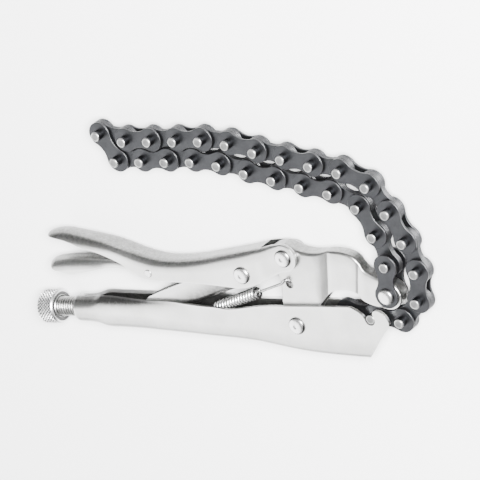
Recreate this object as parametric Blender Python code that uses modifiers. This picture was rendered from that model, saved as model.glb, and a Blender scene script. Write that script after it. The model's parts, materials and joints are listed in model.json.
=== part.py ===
"""Locking chain clamp lying on its side: pressed-steel handles, a jaw, an over-centre toggle and a hooked leaf chain.

Metres, Z up. The origin lies on the jaw's pivot axis, on the plane the tool rests on.
X runs along the fixed handle towards the chain, Y towards the lever handle.
"""

import math

import bmesh
import bpy
from mathutils import Matrix, Vector

# Chain
chain_pitch = 0.015875
chain_pin_radius = 0.00254
chain_pin_half = 0.0067
chain_pin_chamfer = 0.0004
chain_lobe_radius = 0.0063
chain_waist_half = 0.0043
inner_stack_half = 0.0014
outer_plate_thick = 0.00115
tail_link_count = 1

# Widths across the tool
handle_half_width = 0.0070
handle_wall = 0.0018
jaw_half_width = 0.0047
jaw_middle_half_width = 0.0035
jaw_nose_half_width = 0.0037
jaw_wall = 0.0018
toggle_half_width = 0.0043
toggle_wall = 0.0015
blade_half_width = 0.0064
blade_wall = 0.0014
fit_gap = 0.0003
cut_overrun = 0.0040
knob_radius = 0.0090
rest_height = knob_radius

# Lengths in the side view
handle_reach = 0.1425
handle_depth = 0.0260
hook_size = 0.0120
jaw_reach = 0.0562
jaw_rise = 0.0362
nose_height = 0.0155
nose_radius = 0.0074
lever_reach = 0.1550
lever_depth = 0.0280
toggle_depth = 0.0125
blade_length = 0.0675
blade_depth = 0.0090

# Rivets
rivet_shank_radius = 0.0030
rivet_head_radius = 0.0049
nose_rivet_head_radius = 0.0042
nose_rivet_dome = 0.0017
small_pin_radius = 0.0022
small_pin_proud = 0.0004
pivot_ear_radius = 0.0072

# Adjusting screw
screw_axis_height = 0.0052
thread_radius = 0.0049
thread_depth = 0.0006
thread_pitch = 0.0025
thread_length = 0.0360
tip_radius = 0.0040
tip_gap = 0.0018
knob_gap = 0.0170
knob_thick = 0.0056
knob_hub_length = 0.0022
knob_tooth_depth = 0.0004
knob_teeth = 36

# Spring
spring_wire_radius = 0.00048
spring_coil_radius = 0.0023
spring_coil_pitch = 0.0021
spring_turns = 16
spring_hook_radius = 0.0016
spring_hole_radius = 0.0016
spring_points_per_turn = 9
spring_lift = 0.0013

# Colours
steel_colour = (0.62, 0.62, 0.61, 1.0)
rivet_colour = (0.72, 0.72, 0.72, 1.0)
chain_colour = (0.11, 0.115, 0.12, 1.0)
pin_colour = (0.55, 0.55, 0.56, 1.0)

# Places of the pivots in the side view, from the jaw pivot
lever_pivot = Vector((0.0663 * jaw_rise, jaw_rise, 0))
nose_pivot = Vector((jaw_reach, nose_height, 0))
toggle_pivot_shares = (-0.18, -0.3286)
toggle_pivot = lever_pivot + Vector((toggle_pivot_shares[0] * lever_reach, toggle_pivot_shares[1] * lever_depth, 0))
blade_pivot_shares = (-0.5606, -0.3071)
blade_pivot = lever_pivot + Vector((blade_pivot_shares[0] * lever_reach, blade_pivot_shares[1] * lever_depth, 0))
screw_end_share = -0.6175
screw_end = Vector((screw_end_share * handle_reach, screw_axis_height, 0))
toggle_run = toggle_pivot - screw_end
toggle_length = toggle_run.length
toggle_angle = math.atan2(toggle_run.y, toggle_run.x)

# Headings of the chain links, degrees; the returning strand is parallel to the outgoing one
outgoing_headings = (77, 99, 109, 151, 167, 166, 166, 164, 172, 179, 179, 179)
fold_headings = (116, -13)
corner_heading = -62
hook_headings = (-139, -187, -188)


def link_headings():
    """Heading of every link in degrees, from the nose to the loose end."""
    back = [value - 180 for value in outgoing_headings]
    headings = list(outgoing_headings) + list(fold_headings)
    headings += [back[i] for i in (11, 10, 9, 8, 7, 6, 5, 4, 3)]
    headings += [corner_heading]
    headings += [back[i] for i in (2, 1, 0)]
    return headings + list(hook_headings)


def chain_places():
    """Pin centres of the chain in the side view, from the nose pivot on."""
    places = [nose_pivot.copy()]
    for heading in link_headings():
        turn = math.radians(heading)
        places.append(places[-1] + chain_pitch * Vector((math.cos(turn), math.sin(turn), 0)))
    return places


pin_places = chain_places()
hook_pin = pin_places[len(link_headings()) - tail_link_count]

# Side outlines, as shares of the sizes that they follow
handle_stations_shares = (
    (-1, -0.0885, 0.2, 78),
    (-0.9333, -0.1, 0.2038, 78),
    (-0.8982, -0.1231, 0.2231, 76),
    (-0.8667, -0.1769, 0.2923, 60),
    (-0.793, -0.1885, 0.2923, 55),
    (-0.6947, -0.2, 0.2885, 42),
    (-0.6175, -0.2231, 0.3308, 24),
    (-0.5263, -0.25, 0.3577, 18),
    (-0.4, -0.2923, 0.4, 2),
    (-0.2947, -0.3308, 0.4154, 2),
    (-0.1895, -0.3885, 0.3538, 2),
    (-0.0211, -0.5538, 0.3346, 2),
    (0.1193, -0.6346, 0.3385, 2),
    (0.2246, -0.6692, 0.3538, 2),
    (0.4351, -0.7, 0.3538, 2),
)
handle_curl_radius = handle_half_width
near_edge_shares = (
    (-0.5333, 0.4615),
    (-0.4, 0.3615),
    (-0.3354, 0.3462),
    (-0.2807, 0.3),
    (-0.2316, 0.3308),
    (-0.1895, 0.3654),
    (-0.1263, 0.4),
    (-0.1263, 0.6923),
    (-0.5333, 0.6923),
)
hook_front_shares = (
    (-1.1667, 0.55),
    (-0.9167, 0.5667),
    (-0.7, 0.4833),
    (-0.3917, 0.275),
)
hook_tip_shares = (
    (0.2333, 0.3),
    (0.3917, 0.4),
    (0.6333, 0.3333),
    (0.85, 0.0083),
    (0.85, -0.2583),
    (0.2917, -0.8333),
    (-0.0333, -1.225),
    (-0.475, -1.7167),
    (-0.475, -2.3333),
    (3.5, -2.3333),
    (3.5, 1),
    (-1.1667, 1),
)
chin_cut_shares = (
    (0.85, -0.2583),
    (0.2917, -0.8333),
    (-0.0333, -1.225),
    (-0.475, -1.7167),
    (-0.7083, -2),
    (-0.7083, -2.6667),
    (3.5, -2.6667),
    (3.5, -0.2583),
)
chin_slant_shares = (0.83, 0.46)

jaw_web_shares = (
    (-0.1744, 1.0663, 0),
    (-0.0801, 1.1409, 0),
    (0.0267, 1.1657, 0),
    (0.1512, 1.0939, 0),
    (0.2633, 1.047, 0),
    (0.347, 1.0387, 0),
    (0.4804, 1.0608, 1),
    (0.605, 1.047, 1),
    (0.7028, 1.0028, 1),
    (0.7687, 0.9006, 2),
    (0.8007, 0.7845, 2),
    (0.863, 0.7182, 2),
    (0.9431, 0.6657, 2),
    (1.0142, 0.6326, 2),
    (1.0765, 0.5939, 2),
    (1.1139, 0.5304, 2),
    (1.1566, 0.4006, 2),
)
jaw_under_shares = (
    (0.927, 0.2403),
    (0.7972, 0.2956),
    (0.7456, 0.3315),
    (0.71, 0.3923),
    (0.6655, 0.4696),
    (0.5605, 0.5028),
    (0.4662, 0.4917),
    (0.3968, 0.4503),
    (0.3256, 0.3536),
    (0.2527, 0.2569),
    (0.169, 0.1243),
)
jaw_rear_shares = (
    (-0.1246, 0.1657),
    (-0.1139, 0.3177),
    (-0.0854, 0.5028),
    (-0.0765, 0.7459),
    (-0.0961, 0.9116),
    (-0.2135, 0.953),
    (-0.2135, 1.326),
    (1.2456, 1.326),
    (1.2456, 0.6077),
)
spring_hole_shares = (0.0036, 0.6022)

lever_web_shares = (
    (-0.9665, 0.3429, 0.42, 0.9),
    (-0.9568, 0.3857, 0.68, 0.9),
    (-0.9381, 0.4393, 0.9, 0.9),
    (-0.9135, 0.4857, 1, 0.9),
    (-0.8897, 0.5, 1, 0.9),
    (-0.8542, 0.45, 1, 0.8),
    (-0.7961, 0.3893, 1, 0.7),
    (-0.7445, 0.3143, 1, 0.6),
    (-0.689, 0.2179, 1, 0.5),
    (-0.6413, 0.125, 1, 0.4),
    (-0.6026, 0.0464, 1, 0.4),
    (-0.551, -0.0429, 1, 0.4),
    (-0.5058, -0.075, 1, 0.4),
    (-0.4503, -0.0893, 1, 0.4),
    (-0.3432, -0.05, 1, 0.4),
    (-0.2548, 0.0214, 1, 0.4),
    (-0.1626, 0.1, 1, 0.4),
    (-0.0929, 0.1714, 1, 0.4),
    (-0.0413, 0.2286, 1, 0.4),
    (0.0619, 0.2571, 1, 0.4),
)
lever_under_shares = (
    (-0.0942, -0.4036),
    (-0.1445, -0.5107),
    (-0.1832, -0.5679),
    (-0.2213, -0.575),
    (-0.3142, -0.5143),
    (-0.4303, -0.4786),
    (-0.5406, -0.45),
    (-0.58, -0.4214),
    (-0.6187, -0.3143),
    (-0.6645, -0.1071),
    (-0.709, 0),
    (-0.7406, 0.0714),
    (-0.8071, 0.1821),
    (-0.8561, 0.2857),
    (-0.8923, 0.3464),
    (-0.9284, 0.3571),
    (-0.9574, 0.3),
    (-0.9832, 0.2071),
    (-1.009, 0.2071),
    (-1.009, 0.6714),
    (-0.0348, 0.6714),
)
ear_fold_share = -0.0916

toggle_web_shares = (
    (-1.0319, -0.352),
    (-0.9105, -0.368),
    (-0.698, -0.392),
    (-0.3642, -0.416),
    (-0.1821, -0.48),
    (0.1062, -0.496),
)
toggle_side_shares = (
    (-0.091, -0.64),
    (-0.8953, -0.64),
    (-0.9636, -0.288),
    (-0.9954, -0.096),
    (-1, 0.08),
    (-0.9909, 0.36),
    (-0.9712, 0.504),
    (-0.6313, 0.528),
    (-0.3035, 0.512),
    (-0.091, 0.496),
)

blade_web_shares = (
    (-0.997, 0.0556, 0.42, 0.9),
    (-0.9793, 0.2333, 0.68, 0.9),
    (-0.9407, 0.4222, 0.9, 0.95),
    (-0.8815, 0.5444, 1, 0.95),
    (-0.7926, 0.6, 1, 0.95),
    (-0.6741, 0.6778, 1, 0.95),
    (-0.5556, 0.7556, 0.95, 0.9),
    (-0.437, 0.7778, 0.78, 0.8),
    (-0.3481, 0.7444, 0.73, 0.7),
    (-0.2, 0.5889, 0.73, 0.7),
    (-0.0815, 0.4667, 0.73, 0.7),
    (0.0963, 0.4, 0.73, 0.7),
)
blade_top_shares = (
    (0.0593, 0.7111),
    (0.0667, 0),
    (0.0563, -0.2889),
    (0, -0.4444),
    (-0.0815, -0.3333),
    (-0.1467, -0.0333),
    (-0.1896, 0.0444),
    (-0.2696, 0.1556),
    (-0.3822, 0.2111),
    (-0.5111, 0.1667),
    (-0.6237, 0.0111),
    (-0.7111, -0.1),
    (-0.8074, -0.1778),
    (-0.877, -0.1444),
    (-0.9185, -0.0778),
    (-0.963, -0.1778),
    (-1.0296, -0.3444),
    (-1.0296, 1.1556),
    (-0.5259, 1.1556),
)

# Smaller shares, chosen by hand: bends of the sheet, domes, screw ridges and link lobes
flat_edge_share = 6.0
handle_bend_shares = (0.97, 0.5)
handle_bend_run_shares = (-0.95, -0.40)
jaw_bend_share = 0.5
toggle_bend_share = 0.7
steepest_web_share = 2.2
dimple_share = 0.3
rivet_dome_shares = ((0.62, 0.86), (0.87, 0.5), (1.0, 0.12))
tip_dome_shares = ((0.5, 0.1), (0.85, 0.4), (1.0, 0.9))
ridge_shares = (0.4, 0.6)
knob_hub_shares = ((0.92, 0.0), (0.90, 0.2), (0.76, 0.6), (0.66, 1.0))
lobe_turn_share = 0.62
spring_tail_shares = (-0.3965, 0.1769)

# Counts and angles, degrees
lobe_steps = 8
rivet_steps = 16
pin_steps = 16
link_pin_steps = 10
screw_steps = 14
hub_steps = 24
hole_steps = 11
bend_steps = 4
spring_lead_points = 4
curl_limit_degrees = 2
soft_angle = 35
soft_turned_angle = 40
soft_ridge_angle = 50

part_collection = bpy.data.collections.new("chain_clamp")
cutter_collection = bpy.data.collections.new("cutters")


def clear_scene():
    """Empty the startup scene and add the two collections."""
    for found in list(bpy.data.objects):
        bpy.data.objects.remove(found, do_unlink=True)
    bpy.context.scene.collection.children.link(part_collection)
    bpy.context.scene.collection.children.link(cutter_collection)


def material(name, colour, metallic, roughness):
    """One Principled material."""
    made = bpy.data.materials.new(name)
    made.use_nodes = True
    shader = made.node_tree.nodes["Principled BSDF"]
    shader.inputs["Base Color"].default_value = colour
    shader.inputs["Metallic"].default_value = metallic
    shader.inputs["Roughness"].default_value = roughness
    return made


def steel(name, colour=steel_colour, roughness=0.35):
    """Plated steel."""
    return material(name + "_finish", colour, 1.0, roughness)


def add_part(name, mesh, place, finish, turn=0.0):
    """A visible piece with its origin at place and turned about Z."""
    made = bpy.data.objects.new(name, mesh)
    made.location = Vector((place[0], place[1], rest_height + place[2]))
    made.rotation_euler = (0, 0, turn)
    made.data.materials.clear()
    made.data.materials.append(finish)
    part_collection.objects.link(made)
    return made


def add_cutter(name, mesh, parent):
    """A hidden cutting shape in the same frame as the piece it cuts."""
    made = bpy.data.objects.new(name, mesh)
    made.location = parent.location
    made.rotation_euler = parent.rotation_euler
    made.hide_render = True
    made.display_type = "WIRE"
    cutter_collection.objects.link(made)
    return made


def boolean(target, cutter, operation):
    """Live Boolean on target."""
    step = target.modifiers.new(cutter.name, "BOOLEAN")
    step.operation = operation
    step.solver = "EXACT"
    step.object = cutter


def plate_mesh(name, outlines, half, lift=0.0):
    """A flat plate in XY, half thickness each side of lift, with any later outline as a hole."""
    curve = bpy.data.curves.new(name, "CURVE")
    curve.dimensions = "2D"
    curve.fill_mode = "BOTH"
    curve.extrude = half
    for outline in outlines:
        spline = curve.splines.new("POLY")
        spline.points.add(len(outline) - 1)
        for point, place in zip(spline.points, outline):
            point.co = (place[0], place[1], 0, 1)
        spline.use_cyclic_u = True
    drawn = bpy.data.objects.new(name, curve)
    part_collection.objects.link(drawn)
    graph = bpy.context.evaluated_depsgraph_get()
    mesh = bpy.data.meshes.new_from_object(drawn.evaluated_get(graph))
    mesh.transform(Matrix.Translation((0, 0, lift)) @ drawn.matrix_world)
    bpy.data.objects.remove(drawn, do_unlink=True)
    weld(mesh)
    return mesh


def weld(mesh):
    """Join doubled points and turn every face outwards."""
    work = bmesh.new()
    work.from_mesh(mesh)
    bmesh.ops.remove_doubles(work, verts=work.verts, dist=1e-6)
    bmesh.ops.recalc_face_normals(work, faces=work.faces)
    work.to_mesh(mesh)
    work.free()


def arc(centre, radius, start, end, steps):
    """Points of an arc, degrees, both ends included."""
    found = []
    for i in range(steps + 1):
        turn = math.radians(start + (end - start) * i / steps)
        found.append(Vector((centre[0] + radius * math.cos(turn), centre[1] + radius * math.sin(turn), 0)))
    return found


def placed(rows, x_size, y_size, origin=(0, 0)):
    """Rows of shares as points from origin."""
    return [Vector((origin[0] + row[0] * x_size, origin[1] + row[1] * y_size, 0)) for row in rows]


def turned_mesh(name, profile, steps, along):
    """A profile of (radius, height) pairs turned about Z, or about X where along is X."""
    mesh = bpy.data.meshes.new(name)
    points = [(radius, 0, height) for radius, height in profile]
    mesh.from_pydata(points, [(i, i + 1) for i in range(len(points) - 1)], [])
    drawn = bpy.data.objects.new(name, mesh)
    part_collection.objects.link(drawn)
    screw = drawn.modifiers.new("turn", "SCREW")
    screw.axis = "Z"
    screw.angle = math.tau
    screw.steps = steps
    screw.render_steps = steps
    screw.use_merge_vertices = True
    screw.merge_threshold = 1e-5
    screw.use_normal_calculate = True
    graph = bpy.context.evaluated_depsgraph_get()
    made = bpy.data.meshes.new_from_object(drawn.evaluated_get(graph))
    bpy.data.objects.remove(drawn, do_unlink=True)
    if along == "X":
        made.transform(Matrix.Rotation(math.pi / 2, 4, "Y"))
    weld(made)
    return made


def soften(target, angle):
    """Smooth shading with sharp edges kept."""
    target.data.shade_smooth()
    target.data.set_sharp_from_angle(angle=math.radians(angle))


def section(half, wall, bend, bottom, shoulder, curl_length, curl_turn, slope):
    """Outer and inner path of a bent sheet section as (y, z) pairs, from one free edge to the other."""
    side = []
    for i in range(bend_steps + 1):
        turn = math.pi / 2 * i / bend_steps
        side.append((bottom + bend - bend * math.cos(turn), half - bend + bend * math.sin(turn),
                     -math.cos(turn), math.sin(turn)))
    steps = bend_steps if curl_turn > 0 else 1
    for i in range(steps + 1):
        share = i / steps
        swing = curl_turn * share
        if curl_turn > 0:
            radius = curl_length / curl_turn
            rise = radius * math.sin(swing)
            draw = radius * (1 - math.cos(swing))
        else:
            rise = curl_length * share
            draw = 0
        side.append((shoulder + rise, half - draw, math.sin(swing), math.cos(swing)))
    outer = []
    inner = []
    for sign, order in ((1, reversed(side)), (-1, side)):
        for y, z, normal_y, normal_z in order:
            outer.append((y, sign * z))
            inner.append((y - normal_y * wall * slope, sign * (z - normal_z * wall)))
    return outer, inner


def channel_mesh(name, stations, flip):
    """A bent sheet lofted along X through sections; flip puts the web on top."""
    rings = []
    for x, outer, inner in stations:
        rings.append([(x, flip * y, z) for y, z in outer] + [(x, flip * y, z) for y, z in reversed(inner)])
    count = len(rings[0])
    points = [point for ring in rings for point in ring]
    faces = []
    for k in range(len(rings) - 1):
        for i in range(count):
            j = (i + 1) % count
            faces.append((k * count + i, k * count + j, (k + 1) * count + j, (k + 1) * count + i))
    half = count // 2
    for k in (0, len(rings) - 1):
        for i in range(half - 1):
            faces.append((k * count + i, k * count + i + 1, k * count + count - 2 - i, k * count + count - 1 - i))
    mesh = bpy.data.meshes.new(name)
    mesh.from_pydata(points, [], faces)
    weld(mesh)
    return mesh


def slopes(rows):
    """For each (x, y) row, how much thicker upright the sloping web has to be."""
    found = []
    for i in range(len(rows)):
        before = rows[max(i - 1, 0)]
        after = rows[min(i + 1, len(rows) - 1)]
        run = after[0] - before[0]
        rise = after[1] - before[1]
        found.append(min(math.hypot(run, rise) / abs(run), steepest_web_share))
    return found


def ring_points(centre, radius, steps):
    """Points of a full circle."""
    return arc(centre, radius, 0, 360, steps)[:-1]


def hole_cutter(name, centre, radius, parent):
    """Round hole through both walls."""
    reach = handle_half_width + cut_overrun
    mesh = plate_mesh(name, [ring_points(centre, radius, rivet_steps)], reach)
    cutter = add_cutter(name, mesh, parent)
    boolean(parent, cutter, "DIFFERENCE")


def build_handle():
    """Fixed handle: a channel whose rear end curls round the screw and whose front carries the hook."""
    stations = []
    rows = [(row[0] * handle_reach, row[1] * handle_depth) for row in handle_stations_shares]
    for row, slope in zip(handle_stations_shares, slopes(rows)):
        curl = math.radians(row[3])
        curl_radius = handle_curl_radius
        if row[3] <= curl_limit_degrees:
            curl_radius = handle_curl_radius * flat_edge_share
        stations.append((row[0] * handle_reach, *section(
            handle_half_width, handle_wall, handle_bend(row[0]), row[1] * handle_depth,
            row[2] * handle_depth, curl_radius * curl, curl, slope)))
    mesh = channel_mesh("fixed_handle", stations, 1)
    made = add_part("fixed_handle", mesh, (0, 0, 0), steel("fixed_handle"))
    reach = handle_half_width + cut_overrun
    pocket_radius = chain_pin_radius + fit_gap
    front = placed(hook_front_shares, hook_size, hook_size, hook_pin)
    front += arc(hook_pin, pocket_radius, 180, 360, 10)
    front += placed(hook_tip_shares, hook_size, hook_size, hook_pin)
    boolean(made, add_cutter("hook_cut", plate_mesh("hook_cut", [front], reach), made), "DIFFERENCE")
    chin = plate_mesh("chin_cut", [placed(chin_cut_shares, hook_size, hook_size, hook_pin)], reach)
    slant = Matrix.Identity(4)
    slant[0][2] = chin_slant_shares[0]
    slant[1][2] = chin_slant_shares[1]
    fix = Matrix.Translation((0, 0, handle_half_width))
    chin.transform(fix @ slant @ fix.inverted())
    boolean(made, add_cutter("chin_cut", chin, made), "DIFFERENCE")
    near = placed(near_edge_shares, handle_reach, handle_depth)
    near_half = handle_half_width / 2 + cut_overrun / 2
    mesh = plate_mesh("near_edge_cut", [near], near_half, near_half + handle_wall / 2)
    boolean(made, add_cutter("near_edge_cut", mesh, made), "DIFFERENCE")
    hole_cutter("jaw_pivot_hole", (0, 0), rivet_shank_radius + fit_gap, made)
    soften(made, soft_angle)
    return made



def handle_bend(x_share):
    """The bend is a half circle at the neck and tightens towards the front."""
    start, end = handle_bend_run_shares
    blend = min(max((x_share - start) / (end - start), 0), 1)
    return handle_half_width * (handle_bend_shares[0] * (1 - blend) + handle_bend_shares[1] * blend)


def rivet(name, place, half_width, head_radius, shank_radius, top):
    """Domed rivet through both walls at half_width."""
    under = half_width + fit_gap
    dome = top - under
    profile = [(0, top), (head_radius * dimple_share, top)]
    for share, level in rivet_dome_shares:
        profile.append((head_radius * share, under + dome * level))
    profile += [(head_radius, under), (shank_radius, under)]
    profile += [(radius, -height) for radius, height in reversed(profile)]
    mesh = turned_mesh(name, profile, rivet_steps, "Z")
    made = add_part(name, mesh, (place[0], place[1], 0), steel(name, rivet_colour, 0.2))
    soften(made, soft_turned_angle)
    return made



def build_pin(name, place, radius, half):
    """Plain pin with softened ends."""
    edge = chain_pin_chamfer
    profile = [(0, half), (radius - edge, half), (radius, half - edge)]
    profile += [(r, -h) for r, h in reversed(profile)]
    made = add_part(name, turned_mesh(name, profile, pin_steps, "Z"), (place[0], place[1], 0),
                    steel(name, rivet_colour, 0.25))
    soften(made, soft_turned_angle)
    return made


def build_jaw():
    """Jaw: a channel with its web on top, narrow in the middle, round at pivot and nose."""
    rows = [(row[0] * jaw_reach, row[1] * jaw_rise) for row in jaw_web_shares]
    widths = (jaw_half_width, jaw_middle_half_width, jaw_nose_half_width)
    stations = []
    for row, place, slope in zip(jaw_web_shares, rows, slopes(rows)):
        half = widths[row[2]]
        floor = pivot_ear_radius + cut_overrun
        bend = half * jaw_bend_share
        stations.append((place[0], *section(
            half, jaw_wall, bend, -place[1], -place[1] + bend + bend, place[1] + floor - bend - bend, 0, slope)))
    mesh = channel_mesh("jaw", stations, -1)
    made = add_part("jaw", mesh, (0, 0, 0), steel("jaw"))
    side = placed(jaw_under_shares, jaw_reach, jaw_rise)
    side += arc((0, 0), pivot_ear_radius, 0, -180, 10)
    side += placed(jaw_rear_shares, jaw_reach, jaw_rise)
    side += arc(nose_pivot, nose_radius, 35, -100, 9)
    reach = handle_half_width + cut_overrun
    boolean(made, add_cutter("jaw_side", plate_mesh("jaw_side", [side], reach), made), "INTERSECT")
    hole_cutter("jaw_hole", (0, 0), rivet_shank_radius + fit_gap, made)
    hole_cutter("jaw_lever_hole", lever_pivot, rivet_shank_radius + fit_gap, made)
    hole_cutter("jaw_nose_hole", nose_pivot, chain_pin_radius + fit_gap, made)
    hole = Vector((spring_hole_shares[0] * jaw_reach, spring_hole_shares[1] * jaw_rise, 0))
    half = handle_half_width / 2
    mesh = plate_mesh("spring_hole", [ring_points(hole, spring_hole_radius, hole_steps)], half, half + fit_gap)
    boolean(made, add_cutter("spring_hole", mesh, made), "DIFFERENCE")
    soften(made, soft_angle)
    return made



def build_lever():
    """Lever handle: a channel with its web on top, open between two round ears at the front."""
    rows = placed(lever_web_shares, lever_reach, lever_depth)
    stations = []
    for row, place, slope in zip(lever_web_shares, rows, slopes(rows)):
        half = handle_half_width * row[2]
        bend = half * row[3]
        stations.append((place[0], *section(
            half, handle_wall, bend, -place[1], -place[1] + bend + bend, lever_depth, 0, slope)))
    mesh = channel_mesh("lever_handle", stations, -1)
    made = add_part("lever_handle", mesh, lever_pivot, steel("lever_handle"))
    side = placed(lever_under_shares, lever_reach, lever_depth)
    side += arc((0, 0), pivot_ear_radius, 95, -115, 14)
    reach = handle_half_width + cut_overrun
    boolean(made, add_cutter("lever_side", plate_mesh("lever_side", [side], reach), made), "INTERSECT")
    fold = ear_fold_share * lever_reach
    far = pivot_ear_radius + cut_overrun
    slot = [Vector((fold, -far, 0)), Vector((far, -far, 0)), Vector((far, far + cut_overrun, 0)),
            Vector((fold, far + cut_overrun, 0))]
    half = jaw_half_width + fit_gap + fit_gap
    boolean(made, add_cutter("ear_slot", plate_mesh("ear_slot", [slot], half), made), "DIFFERENCE")
    hole_cutter("lever_hole", (0, 0), rivet_shank_radius + fit_gap, made)
    hole_cutter("lever_toggle_hole", toggle_pivot - lever_pivot, rivet_shank_radius + fit_gap, made)
    hole_cutter("lever_blade_hole", blade_pivot - lever_pivot, small_pin_radius + fit_gap, made)
    soften(made, soft_angle)
    return made


def build_toggle():
    """Toggle link: a small channel with its web below, from the lever to the end of the screw."""
    rows = placed(toggle_web_shares, toggle_length, toggle_depth)
    stations = []
    bend = toggle_half_width * toggle_bend_share
    for place, slope in zip(rows, slopes(rows)):
        stations.append((place[0], *section(
            toggle_half_width, toggle_wall, bend, place[1], place[1] + bend + bend,
            toggle_depth, 0, slope)))
    mesh = channel_mesh("toggle_link", stations, 1)
    made = add_part("toggle_link", mesh, toggle_pivot, steel("toggle_link"), toggle_angle)
    side = placed(toggle_side_shares, toggle_length, toggle_depth)
    side += arc((0, 0), toggle_depth / 2, 90, -90, 10)
    reach = handle_half_width + cut_overrun
    boolean(made, add_cutter("toggle_side", plate_mesh("toggle_side", [side], reach), made), "INTERSECT")
    hole_cutter("toggle_hole", (0, 0), rivet_shank_radius + fit_gap, made)
    soften(made, soft_angle)
    return made



def build_blade():
    """Release lever: a shallow pressed spoon with its web on top, pinned inside the lever handle."""
    rows = placed(blade_web_shares, blade_length, blade_depth)
    stations = []
    for row, place, slope in zip(blade_web_shares, rows, slopes(rows)):
        half = blade_half_width * row[2]
        bend = half * row[3]
        stations.append((place[0], *section(
            half, blade_wall, bend, -place[1], -place[1] + bend + bend, blade_depth, 0, slope)))
    mesh = channel_mesh("release_lever", stations, -1)
    made = add_part("release_lever", mesh, blade_pivot, steel("release_lever"))
    side = placed(blade_top_shares, blade_length, blade_depth)
    reach = handle_half_width + cut_overrun
    boolean(made, add_cutter("blade_side", plate_mesh("blade_side", [side], reach), made), "INTERSECT")
    hole_cutter("blade_hole", (0, 0), small_pin_radius + fit_gap, made)
    soften(made, soft_angle)
    return made


def build_screw():
    """Adjusting screw: ridged shank, turned-down inner end with a round tip."""
    rear = -handle_reach - knob_gap
    tip = screw_end.x - tip_gap
    profile = [(0, tip)]
    for share_out, share_back in tip_dome_shares:
        profile.append((tip_radius * share_out, tip - tip_radius * share_back))
    thread_start = rear + thread_length
    profile += [(tip_radius, thread_start + tip_radius / 2), (thread_radius - thread_depth, thread_start)]
    count = int((thread_start - rear) / thread_pitch)
    for i in range(count):
        base = thread_start - i * thread_pitch
        profile.append((thread_radius, base - thread_pitch * ridge_shares[0]))
        profile.append((thread_radius, base - thread_pitch * ridge_shares[1]))
        profile.append((thread_radius - thread_depth, base - thread_pitch))
    profile += [(0, profile[-1][1])]
    mesh = turned_mesh("adjusting_screw", profile, screw_steps, "X")
    made = add_part("adjusting_screw", mesh, (0, screw_axis_height, 0), steel("adjusting_screw", roughness=0.3))
    soften(made, soft_ridge_angle)
    return made, profile[-1][1]



def build_knob(face):
    """Thin knurled disc with a hub that widens round the end of the thread."""
    outline = []
    for i in range(knob_teeth * 2):
        turn = math.tau * i / (knob_teeth * 2)
        radius = knob_radius - knob_tooth_depth * (i % 2)
        outline.append(Vector((radius * math.cos(turn), radius * math.sin(turn), 0)))
    mesh = plate_mesh("adjusting_knob", [outline], knob_thick / 2)
    mesh.transform(Matrix.Rotation(math.pi / 2, 4, "Y"))
    made = add_part("adjusting_knob", mesh, (face - fit_gap - knob_thick / 2, screw_axis_height, 0),
                    steel("adjusting_knob", roughness=0.3))
    half = knob_thick / 2
    bore = thread_radius + fit_gap
    hub = [(bore, 0)]
    for radius_share, length_share in knob_hub_shares:
        hub.append((knob_radius * radius_share, half + knob_hub_length * length_share))
    hub += [(bore, half + knob_hub_length), (bore, 0)]
    hub_mesh = turned_mesh("knob_hub", hub, hub_steps, "X")
    boolean(made, add_cutter("knob_hub", hub_mesh, made), "UNION")
    soften(made, soft_angle)
    return made


def link_outline(radius):
    """Outline of a link plate from its first pin at the origin: two round lobes and a waist."""
    reach = chain_pitch
    rise = math.degrees(math.acos(lobe_turn_share))
    first = arc((0, 0), radius, rise, 360 - rise, lobe_steps)
    second = arc((reach, 0), radius, 180 + rise, 540 - rise, lobe_steps)
    waist = Vector((reach / 2, chain_waist_half, 0))
    low = Vector((waist.x, -waist.y, 0))
    return first + [low] + second + [waist]



def outer_link_mesh(name, plate_inner, plate_outer, pin_spots, holes):
    """Two plates joined by pins in one piece."""
    half = (plate_outer - plate_inner) / 2
    middle = (plate_outer + plate_inner) / 2
    upper = plate_mesh(name, [link_outline(chain_lobe_radius)] + holes, half, middle)
    lower = plate_mesh(name + "_lower", [link_outline(chain_lobe_radius)] + holes, half, -middle)
    edge = chain_pin_chamfer
    profile = [(0, chain_pin_half), (chain_pin_radius - edge, chain_pin_half),
               (chain_pin_radius, chain_pin_half - edge)]
    profile += [(r, -h) for r, h in reversed(profile)]
    drawn = bpy.data.objects.new(name, upper)
    part_collection.objects.link(drawn)
    helpers = [bpy.data.objects.new(name + "_lower", lower)]
    for spot in pin_spots:
        pin = turned_mesh(name + "_pin", profile, link_pin_steps, "Z")
        pin.transform(Matrix.Translation((spot, 0, 0)))
        helpers.append(bpy.data.objects.new(name + "_pin", pin))
    for helper in helpers:
        cutter_collection.objects.link(helper)
        boolean(drawn, helper, "UNION")
    graph = bpy.context.evaluated_depsgraph_get()
    made = bpy.data.meshes.new_from_object(drawn.evaluated_get(graph))
    for found in [drawn] + helpers:
        bpy.data.objects.remove(found, do_unlink=True)
    weld(made)
    return made


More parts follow.
